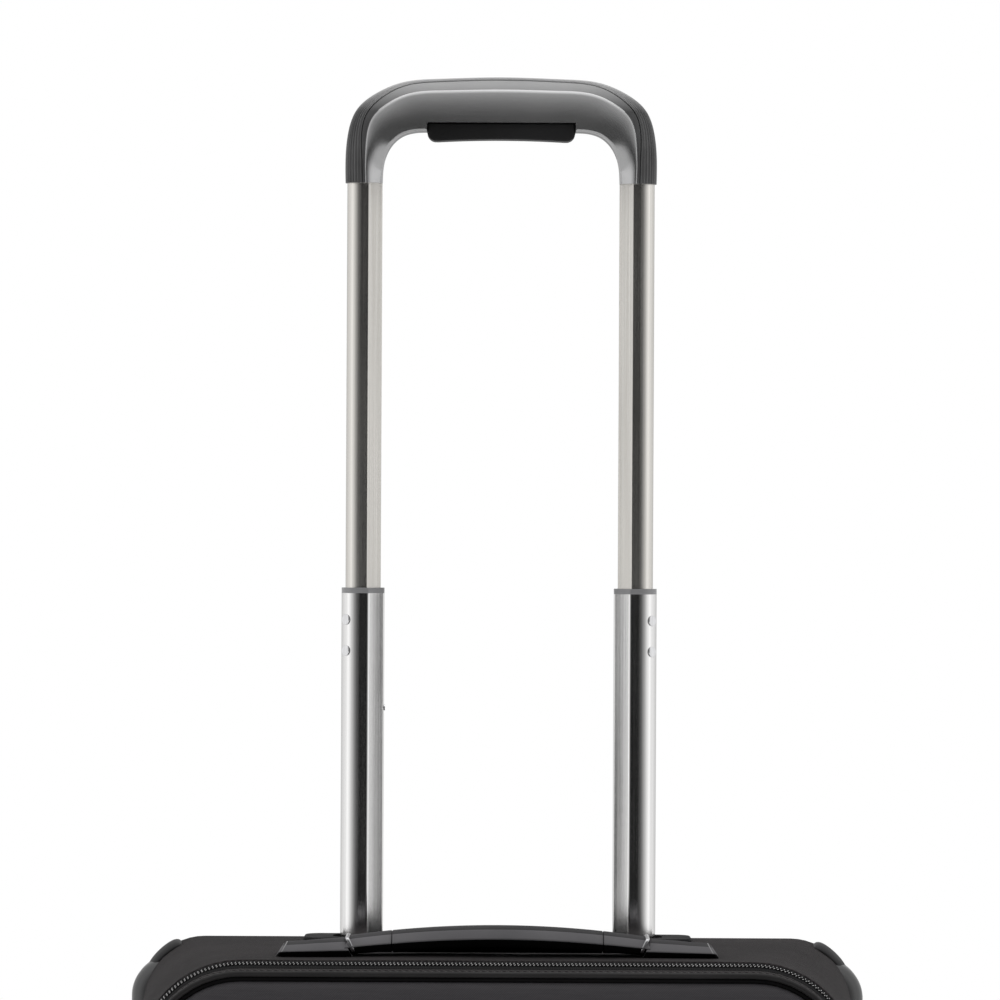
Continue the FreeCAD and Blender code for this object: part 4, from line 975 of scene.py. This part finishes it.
# The grip's outer line from a leg's foot to the middle: across from the side, and down from the top
OUTER_ARCH = [
    (0.0, 54.9), (0.9, 30.7), (5.8, 16.7), (16.5, 8.0), (28.0, 3.1), (48.0, 0.9), (80.2, 0.0),
]
# Its inner line: across from the middle, and above the foot
INNER_ARCH = [
    (61.2, 0.0), (60.0, 12.0), (56.4, 19.7), (51.0, 24.4), (44.5, 26.4), (36.0, 26.7), (0.0, 26.7),
]
GRIP_STATIONS = 181
# Parts of the grip's section, each on a leg and over the top: how wide the ribbed band and the
# smooth strip beside it are, how much the face is crowned, the strip's step, and the rim
BAND = (8.4, 1.3)
STRIP = (2.0, 5.6)
CROWN = (0.7, 3.0)
STEP = (0.02, 1.22)
RIM = (1.2, 0.4)
# The band's ribs: how many steps its section has, how many of the points past it still take its
# finish, how many ribs a side, and their height
BAND_STEPS = 32
BAND_MARGIN = 8
BAND_RIBS = 8
RIB_HEIGHT = 0.17
# The face's steps, and how far it falls away on the legs
FACE_STEPS = 16
FACE_FALL = 5.4
# The release button's rounding and travel, and its springs' wire and turns
BUTTON_ROUND = 5.0
SPRING_WIRE = 0.4
SPRING_TURNS = 4
TURN_STEPS = 24


def spline(points, count):
    """Evenly spaced points on the smooth curve that goes through the given ones."""
    points = np.array(points, float)
    gaps = np.diff(knots_of(points))
    size = len(points)
    system = np.eye(size)
    wanted = np.zeros((size, 2))
    for i in range(1, size - 1):
        system[i, i - 1 : i + 2] = gaps[i - 1], 2 * (gaps[i - 1] + gaps[i]), gaps[i]
        slope = (points[i + 1] - points[i]) / gaps[i] - (points[i] - points[i - 1]) / gaps[i - 1]
        wanted[i] = 6 * slope
    bend = np.linalg.solve(system, wanted)
    line = []
    for i, gap in enumerate(gaps):
        for t in np.linspace(0, gap, 30, endpoint=False):
            rest = gap - t
            straight = points[i] * rest / gap + points[i + 1] * t / gap
            curve = bend[i] * (rest ** 3 / gap - rest * gap)
            curve += bend[i + 1] * (t ** 3 / gap - t * gap)
            line.append(straight + curve / 6)
    line = np.array(line + [points[-1]])
    knots = knots_of(line)
    return read_line(line, knots, np.linspace(0, knots[-1], count))


def grip_lines():
    """The grip's outer and inner lines seen from the front, left foot to right foot."""
    low, high = cad("grip_band")
    outer = [(high.x - side, high.z - fall) for side, fall in OUTER_ARCH]
    inner = [(across, low.z + up) for across, up in INNER_ARCH]
    lines = []
    for points in (outer, inner):
        left = [(-across, up) for across, up in points]
        lines.append(spline(left + points[-2::-1], GRIP_STATIONS))
    return lines


def band_section(lower, top):
    """The ribbed band, from the section's outer end to the strip beside it."""
    width = mix(BAND, top)
    shape = []
    for step in range(BAND_STEPS + 1):
        share = step / BAND_STEPS
        angle = pi / 2 * share
        rib = RIB_HEIGHT * cos(share * 2 * pi * BAND_RIBS) * (1 - top * 0.6)
        reach = (lower - 0.2 + rib) * sin(angle) ** 0.6
        shape.append((width * (1 - cos(angle)) - rib * cos(angle), reach))
    return shape


def grip_section(width, top, leg):
    """One section of the grip: across from its outer line, and out from its middle plane. It goes
    from the legs' shape to the top's as top goes from 0 to 1, and leg is how far the face slants."""
    low, high = cad("grip_shell")
    crown, rise, rim = mix(CROWN, top), mix(STEP, top), mix(RIM, top)
    start = (high.y - low.y) / 2 - crown
    lower = start - 0.85 - rise
    edge = mix(BAND, top) + 0.2
    ridge = edge + mix(STRIP, top ** 0.7)
    # The band, a groove, the smooth strip and a small step up to the face
    shape = band_section(lower, top)
    shape += [(edge, lower - 0.9), (edge + 0.3, lower - 0.95), (edge + 0.45, lower - 0.2)]
    shape += [(edge + 0.55, lower - 0.03), (edge + 0.68, lower)]
    shape += [((edge + ridge) / 2, lower + rise * 0.55), (ridge - 0.62, lower + rise * 0.97)]
    shape += [(ridge - 0.5, lower + rise), (ridge - 0.06, start - 0.08)]
    # The crowned face, which falls away on the legs, and the rim at the inner line
    face = (ridge + 0.06, width - rim)
    for step in range(FACE_STEPS + 1):
        share = step / FACE_STEPS
        rest = 1 - min(share / (0.45 + 0.5 * top), 1.0)
        fall = FACE_FALL * share ** 1.2 * leg
        shape.append((mix(face, share), start + crown * (1 - rest ** 2.4) - fall))
    end = shape[-1][1]
    shape += [(width - rim * 0.67, end - rim * 0.3), (width - rim * 0.17, end - rim * 1.1)]
    return shape + [(width, end - rim * 2), (width, 1.0)]


def make_grip():
    """The moulded grip with its ribbed outer band, and the release button in its underside."""
    low, high = cad("grip_shell")
    middle = (low.y + high.y) / 2
    rings = []
    for outside, inside in zip(*grip_lines()):
        width = np.linalg.norm(inside - outside)
        direction = (inside - outside) / width
        upright = abs(direction[1])
        leg = smooth_step((0.5 - upright) / 0.4)
        section = grip_section(width, smooth_step((upright - 0.18) / 0.82), leg)
        ring = []
        for sign, half in ((-1, section), (1, section[::-1])):
            for across, out in half:
                x, z = outside + direction * across
                ring.append((x, middle + sign * out, z))
        rings.append(ring)
    grip = skin("grip_moulding", rings)
    colour_band(grip, len(rings[0]))
    cut_button_bay(grip)
    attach(grip, "upper_stage")
    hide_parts("grip_shell", "grip_band")
    make_button()


def colour_band(grip, width):
    """The ribbed band and the arch's underside take the rubber finish, and the rest the grey one. On
    the underside the dark rubber is painted shade.
    """
    mesh = grip.data
    mesh.materials.append(MATERIALS["grip_grey"])
    mesh.materials.append(MATERIALS["grip_rubber"])
    for face in mesh.polygons:
        columns = [vertex % width for vertex in face.vertices]
        columns = [min(column, width - 1 - column) for column in columns]
        # Painted shade: the arch's underside takes the dark rubber
        under = min(columns) >= width // 2 - 2 and face.normal.z < -0.3
        face.material_index = 1 if max(columns) <= BAND_STEPS + BAND_MARGIN or under else 0


def cut_button_bay(grip):
    """Cuts a notch for the button through the grip's front, and a bay for it behind."""
    low, high = cad("release_button")
    front, back = cad("grip_shell")[0].y, cad("grip_shell")[1].y
    notch = ((low.x - 0.2, front - 2, low.z - 4), (high.x + 0.2, low.y + 1, high.z + 0.12))
    bay = ((low.x - 0.2, low.y - 0.5, low.z - 4), (high.x + 0.2, back - 1.6, high.z + 4.6))
    carve(grip, notch, bay)
    grip.data.set_sharp_from_angle(angle=radians(50))


def make_springs():
    """The two coil springs over the button. The real ones shorten as it is squeezed; these are fixed
    coils.
    """
    low, high = cad("button_springs")
    middle = (low.y + high.y) / 2
    coil = (high.y - low.y) / 2 - SPRING_WIRE
    height = high.z - low.z - 2 * SPRING_WIRE
    steps = SPRING_TURNS * TURN_STEPS
    for side, name in SIDES:
        centre = side * (high.x - coil - SPRING_WIRE)
        run = []
        for step in range(steps + 1):
            angle = 2 * pi * step / TURN_STEPS
            level = low.z + SPRING_WIRE + height * step / steps
            run.append((centre + coil * cos(angle), middle + coil * sin(angle), level))
        spring = wire(f"button_spring_{name}", run, SPRING_WIRE)
        finish_piece(spring, "steel", "upper_stage", ["button_springs"] if side < 0 else [])
        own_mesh(spring)


def make_button():
    """The squeeze button: a bar with rounded lower ends, a little hollow along its underside."""
    low, high = cad("release_button")
    ends = [1, 0.997, 0.989, 0.975, 0.955, 0.93, 0.9]
    shares = [-share for share in ends] + list(np.linspace(-0.85, 0.85, 21)) + ends[::-1]
    rings = []
    for share in shares:
        x = share * high.x
        reach = max(abs(x) - high.x + BUTTON_ROUND, 0) / BUTTON_ROUND
        lift = BUTTON_ROUND * (1 - sqrt(max(1 - reach ** 2, 0.01)))
        bottom = low.z + lift + 1.3 * (1 - share ** 2)
        top = high.z - 0.9 * max(reach - 0.75, 0) ** 2 / 0.06
        front = low.y + 1.5 * reach ** 6
        rings.append(soft_bar_ring(x, front, high.y, bottom, top, 1.0 - 0.5 * reach ** 4))
    button = skin("release_button_bar", rings)
    finish_piece(button, "button_black", "button", ["release_button"])


def soft_bar_ring(x, front, back, bottom, top, radius):
    """A rounded rectangle across X."""
    loop = rounded_loop((back - front) / 2, bottom, top, radius, across=6, up=4, bend=4)
    return np.column_stack([np.full(len(loop), x), (front + back) / 2 + loop[:, 0], loop[:, 1]])


# ---------------------------------------------------------------- Carry handles


# A carry handle's section, going round from its undercut: across as a share of its depth, and up
# as a share of its thickness. It has a slanted front facet, a soft top and a hollow underside.
HANDLE_SECTION = [
    (-0.40, 0.02), (-0.44, 0.16), (-0.475, 0.33), (-0.495, 0.40), (-0.498, 0.43), (-0.485, 0.50),
    (-0.44, 0.66), (-0.39, 0.81), (-0.365, 0.87), (-0.33, 0.905), (-0.15, 0.98), (0.0, 1.0),
    (0.15, 0.98), (0.33, 0.905), (0.365, 0.87), (0.39, 0.81), (0.44, 0.66), (0.49, 0.48),
    (0.498, 0.40), (0.47, 0.25), (0.40, 0.02), (0.34, -0.02), (0.1, 0.05), (-0.1, 0.05),
    (-0.34, -0.02),
]
# Up to this level the section is undercut and painted black as shadow, and from the other one on it is
# the soft top, painted darker as shade
UNDERCUT = 0.41
FACET_TOP = 0.86
# Half the length of the part that lifts, as far as the seams
GRIP_SEAM = 52.5
SEAM_GAP = 0.15
# The links lean by this much, and the sleeves' and the caps' ends with them
LINK_LEAN = 0.467
LINK_HALF = 0.95
LINK_RADIUS = 0.48
LINK_CORNER = 1.6
CAP_HEIGHT = 9.0
CAP_SLANT = 4.0
# The rows of a cap's end that take the painted highlight line
HIGHLIGHT_ROWS = (6, 7)


def shade_handle(piece):
    """Paints shade on a handle's piece: a matt black undercut as painted shadow, and a darker top than
    its front facet as painted shade.
    """
    piece.data.materials.append(MATERIALS["underside"])
    piece.data.materials.append(MATERIALS["handle_top_shade"])
    width = len(HANDLE_SECTION)
    for face in piece.data.polygons:
        levels = [HANDLE_SECTION[vertex % width][1] for vertex in face.vertices]
        if len(levels) == 4 and max(levels) < UNDERCUT:
            face.material_index = 1
        elif len(levels) == 4 and min(levels) > FACET_TOP:
            face.material_index = 2


def handle_rings(stations, lines, depth, centre, lip, lean_from=None):
    """Rings of the handle's section between a lower and an upper line, with its rear edge hanging
    down to a lip. Past lean_from, the rings lean out more and more, until they lie along the link."""
    rings = []
    for x in stations:
        bottom, top = (line(x) for line in lines)
        thick = top - bottom
        lean = 0.0
        if lean_from is not None:
            lean = LINK_LEAN * (abs(x) - lean_from) / (abs(stations[-1]) - lean_from)
        ring = []
        for y, z in HANDLE_SECTION:
            hang = (bottom - lip) * (1 - max(z, 0) / UNDERCUT) if y > 0.2 and z < UNDERCUT else 0.0
            level = bottom + z * thick - hang
            shift = copysign(lean * (level - bottom - thick), x)
            ring.append((x + shift, centre + y * depth, level))
        rings.append(ring)
    return rings


def make_top_handle():
    """The arched handle: a middle grip and two end sleeves, with a seam between them."""
    low, high = cad("top_handle_grip")
    floor = low.z - 1.8
    depth = high.y - low.y
    centre = (high.y + low.y) / 2
    reach = high.x
    lines = (
        lambda x: floor + 4.9 - 4.1 * (x / reach) ** 2,
        lambda x: floor + 15.1 - 5.4 * (x / reach) ** 2,
    )
    across = np.linspace(-GRIP_SEAM, GRIP_SEAM, 31)
    middle = handle_rings(across, lines, depth, centre, floor + 0.8)
    grip = skin("top_handle_middle", seam_ends(middle))
    finish_piece(grip, "handle_soft", "top_handle", ["top_handle_grip"])
    shade_handle(grip)
    for side, name in SIDES:
        xs = side * np.linspace(GRIP_SEAM + SEAM_GAP, reach - 0.3, 12)
        rings = handle_rings(xs, lines, depth, centre, floor + 0.8, GRIP_SEAM)
        sleeve = skin(f"top_handle_sleeve_{name}", seam_ends(rings))
        finish_piece(sleeve, "handle_soft", None)
        shade_handle(sleeve)
        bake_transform(sleeve)


def cap_ring(share, low, high, side, floor):
    """One ring of an end cap, at a share of the way out from the link."""
    near, far = sorted((abs(low.x), abs(high.x)))
    near += 0.3
    thick = CAP_HEIGHT - 2.2 * share
    drawn = 0.8 if share == 1.0 else 1.0
    ring = []
    for y, z in HANDLE_SECTION:
        slant = CAP_SLANT * (1 - z) if share > 0.5 else 0.0
        lean = LINK_LEAN * z * thick if share < 0.5 else 0.0
        x = near + (far - CAP_SLANT - near) * share + slant * share + lean
        level = floor + max(z, 0) * thick * (0.5 + 0.5 * drawn)
        ring.append((side * x, (low.y + high.y) / 2 + y * (high.y - low.y) * drawn, level))
    return ring


def make_top_caps():
    """The end caps: the handle's section carried on down to the case, with slanted outer ends that
    carry a thin painted highlight line where their edge would catch light."""
    floor = cad("outer_cover")[1].z - 0.4
    for side, name in SIDES:
        low, high = cad(f"top_handle_cap_{name}")
        shares = (0.0, 0.02, 0.1, 0.4, 0.7, 0.88, 0.95, 0.965, 1.0)
        rings = [cap_ring(share, low, high, side, floor) for share in shares]
        cap = skin(f"top_handle_end_{name}", rings)
        finish_piece(cap, "handle_soft", "case", [f"top_handle_cap_{name}"])
        shade_handle(cap)
        # Painted highlight: a thin light line along the slanted end's edge
        cap.data.materials.append(MATERIALS["painted_edge_highlight"])
        for face in cap.data.polygons:
            rows = [vertex // len(HANDLE_SECTION) for vertex in face.vertices]
            if (min(rows), max(rows)) == HIGHLIGHT_ROWS and face.material_index != 1:
                face.material_index = 3


def make_links():
    """A flat bright ring on each side, which holds the handle to its cap."""
    low, high = cad("top_handle_links")
    front, back = low.y + 0.7, high.y - 0.7
    half = (back - front) / 2
    corners = rounded_loop(half, low.z + 2.2, high.z - 0.9, LINK_CORNER, 8, 4, 6)
    for side, name in SIDES:
        rings = []
        for (y, z), (run_y, run_z) in zip(corners, directions(corners)):
            x = high.x - 1.45 - LINK_LEAN * (high.z - z)
            ring = []
            for turn in range(16):
                angle = 2 * pi * turn / 16
                across = bulge(cos(angle), 0.6) * LINK_HALF
                out = LINK_RADIUS * sin(angle)
                middle = (front + back) / 2 + y
                ring.append((side * (x + across), middle + out * run_z, z - out * run_y))
            rings.append(ring)
        link = skin(f"top_handle_link_{name}", rings, closed=True)
        finish_piece(link, "steel", "case", ["top_handle_links"] if side < 0 else [])


def seam_ends(rings):
    """Draws both end rings in a little, so that the ends are soft and leave a seam."""
    rings = [np.array(ring, float) for ring in rings]
    for end, inner in ((0, 1), (-1, -2)):
        middle = rings[end].mean(0)
        drawn = middle + (rings[end] - middle) * 0.93
        near = rings[end] + (rings[inner] - rings[end]) * 0.12
        rings[end] = drawn
        rings.insert(1 if end == 0 else len(rings) - 1, near)
    return rings


def make_side_handle():
    """The flat side handle: a middle and two ends that stay with the caps."""
    low, high = cad("side_handle_grip")
    centre = (low.y + high.y) / 2
    middle = (low.z + high.z) / 2
    reach = (high.z - low.z) / 2

    def rings(levels):
        made = []
        for z in levels:
            bow = 0.24 * (1 - ((z - middle) / reach) ** 2)
            half = (high.y - low.y) / 2
            loop = rounded_loop(half, low.x + bow, high.x + bow, 1.9, across=10, up=2, bend=4)
            made.append([(out, centre + across, z) for across, out in loop])
        return seam_ends(made)

    grip = skin("side_handle_middle", rings(np.linspace(middle - GRIP_SEAM, middle + GRIP_SEAM, 31)))
    finish_piece(grip, "handle_soft", "side_handle", ["side_handle_grip"])
    for side, name in ((-1, "lower"), (1, "upper")):
        levels = middle + side * np.linspace(GRIP_SEAM + SEAM_GAP, reach - 0.2, 10)
        sleeve = skin(f"side_handle_sleeve_{name}", rings(levels))
        finish_piece(sleeve, "handle_soft", None)
        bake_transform(sleeve)


# ---------------------------------------------------------------- The studio


# The camera: how far it is in front of the object and below its top, in metres, and its roll
CAMERA_LENS = 235.3
CAMERA_AWAY = 3.187
CAMERA_DROP = 0.2183
CAMERA_SIDE = 0.0002
CAMERA_ROLL = radians(-0.27)
FLOOR_RADIUS = 3.2
# How bright the studio is by the direction that it is seen in: the cosine of the angle from the
# side that the object faces, and the brightness there
STUDIO = [
    (-1.0, 0.012), (-0.98, 0.05), (-0.94, 0.14), (-0.87, 0.28), (-0.75, 0.5), (-0.6, 0.78),
    (-0.42, 1.05), (-0.24, 1.25), (0.0, 1.0), (0.26, 0.95), (0.64, 0.8), (1.0, 0.6),
]


def make_camera():
    """A long lens, level with the pull-out handle."""
    low, high = cad_box
    camera = bpy.data.cameras.new("camera")
    camera.lens = CAMERA_LENS
    camera.sensor_width = 36.0
    camera.clip_end = 100.0
    holder = show("camera", camera)
    holder.location = (CAMERA_SIDE, low.y - CAMERA_AWAY, high.z - CAMERA_DROP)
    holder.rotation_euler = (radians(90), CAMERA_ROLL, 0)
    bpy.context.scene.camera = holder


def make_world():
    """A soft white studio, dark only on the side that the object faces. It looks plain white."""
    world = bpy.data.worlds.new("studio")
    world.use_nodes = True
    tree = world.node_tree
    studio = Nodes(tree)
    place = studio.node("ShaderNodeTexCoord").outputs["Generated"]
    facing = studio.node("ShaderNodeSeparateXYZ", None, {0: place}).outputs["Y"]
    share = studio.node("ShaderNodeMapRange", None, {"Value": facing, "From Min": -1.0})
    ramp = studio.node("ShaderNodeValToRGB", None, {"Fac": share.outputs["Result"]})
    for _ in STUDIO[1:-1]:
        ramp.color_ramp.elements.new(0.5)
    brightest = max(value for _, value in STUDIO)
    for element, (cosine, value) in zip(ramp.color_ramp.elements, STUDIO):
        element.position = (cosine + 1) / 2
        element.color = (value / brightest,) * 3 + (1,)
    light = tree.nodes["Background"]
    light.inputs["Strength"].default_value = brightest
    tree.links.new(ramp.outputs["Color"], light.inputs["Color"])
    seen = studio.node("ShaderNodeBackground", None, {"Color": (1, 1, 1, 1)})
    to_camera = studio.node("ShaderNodeLightPath").outputs["Is Camera Ray"]
    inputs = {"Fac": to_camera, 1: light.outputs[0], 2: seen.outputs[0]}
    mix = studio.node("ShaderNodeMixShader", None, inputs)
    tree.links.new(mix.outputs[0], tree.nodes["World Output"].inputs["Surface"])
    bpy.context.scene.world = world
    bpy.context.scene.view_settings.view_transform = "Standard"


def area_light(name, place, aim, size, power):
    light = bpy.data.lights.new(name, "AREA")
    light.shape = "RECTANGLE"
    light.size, light.size_y = size
    light.energy = power
    holder = show(name, light)
    holder.location = place
    holder.rotation_euler = (Vector(aim) - Vector(place)).to_track_quat("-Z", "Y").to_euler()


def make_floor():
    """A round pale floor, a few metres across."""
    mesh = bpy.data.meshes.new("floor")
    work = bmesh.new()
    bmesh.ops.create_circle(work, cap_ends=True, segments=96, radius=FLOOR_RADIUS)
    work.to_mesh(mesh)
    work.free()
    finish = Finish("floor", {"Roughness": 0.7})
    clouds = finish.noise(finish.place("Object"), 3.0, 5.0)
    colour = finish.colour(clouds, (0.80, 0.80, 0.80), (0.86, 0.86, 0.86))
    finish.tree.links.new(colour, finish.shader.inputs["Base Color"])
    mesh.materials.append(finish.material)
    floor = show("floor", mesh)


MATERIALS = make_materials()
dress_nodes()
make_camera()
make_world()
area_light("top_box", (0, -0.4, 2.8), (0, 0, 0.5), (2.0, 2.0), 9)
make_floor()
make_cover()
make_lining()
make_rear_welt()
make_lid_cloth()
make_lid_lining()
make_zipper()
make_hinge()
make_lid_welt()
make_front_panel()
make_front_pocket()
make_pocket_zippers()
make_grip()
make_springs()
make_top_handle()
make_top_caps()
make_links()
make_shoulder_pads()
make_side_handle()
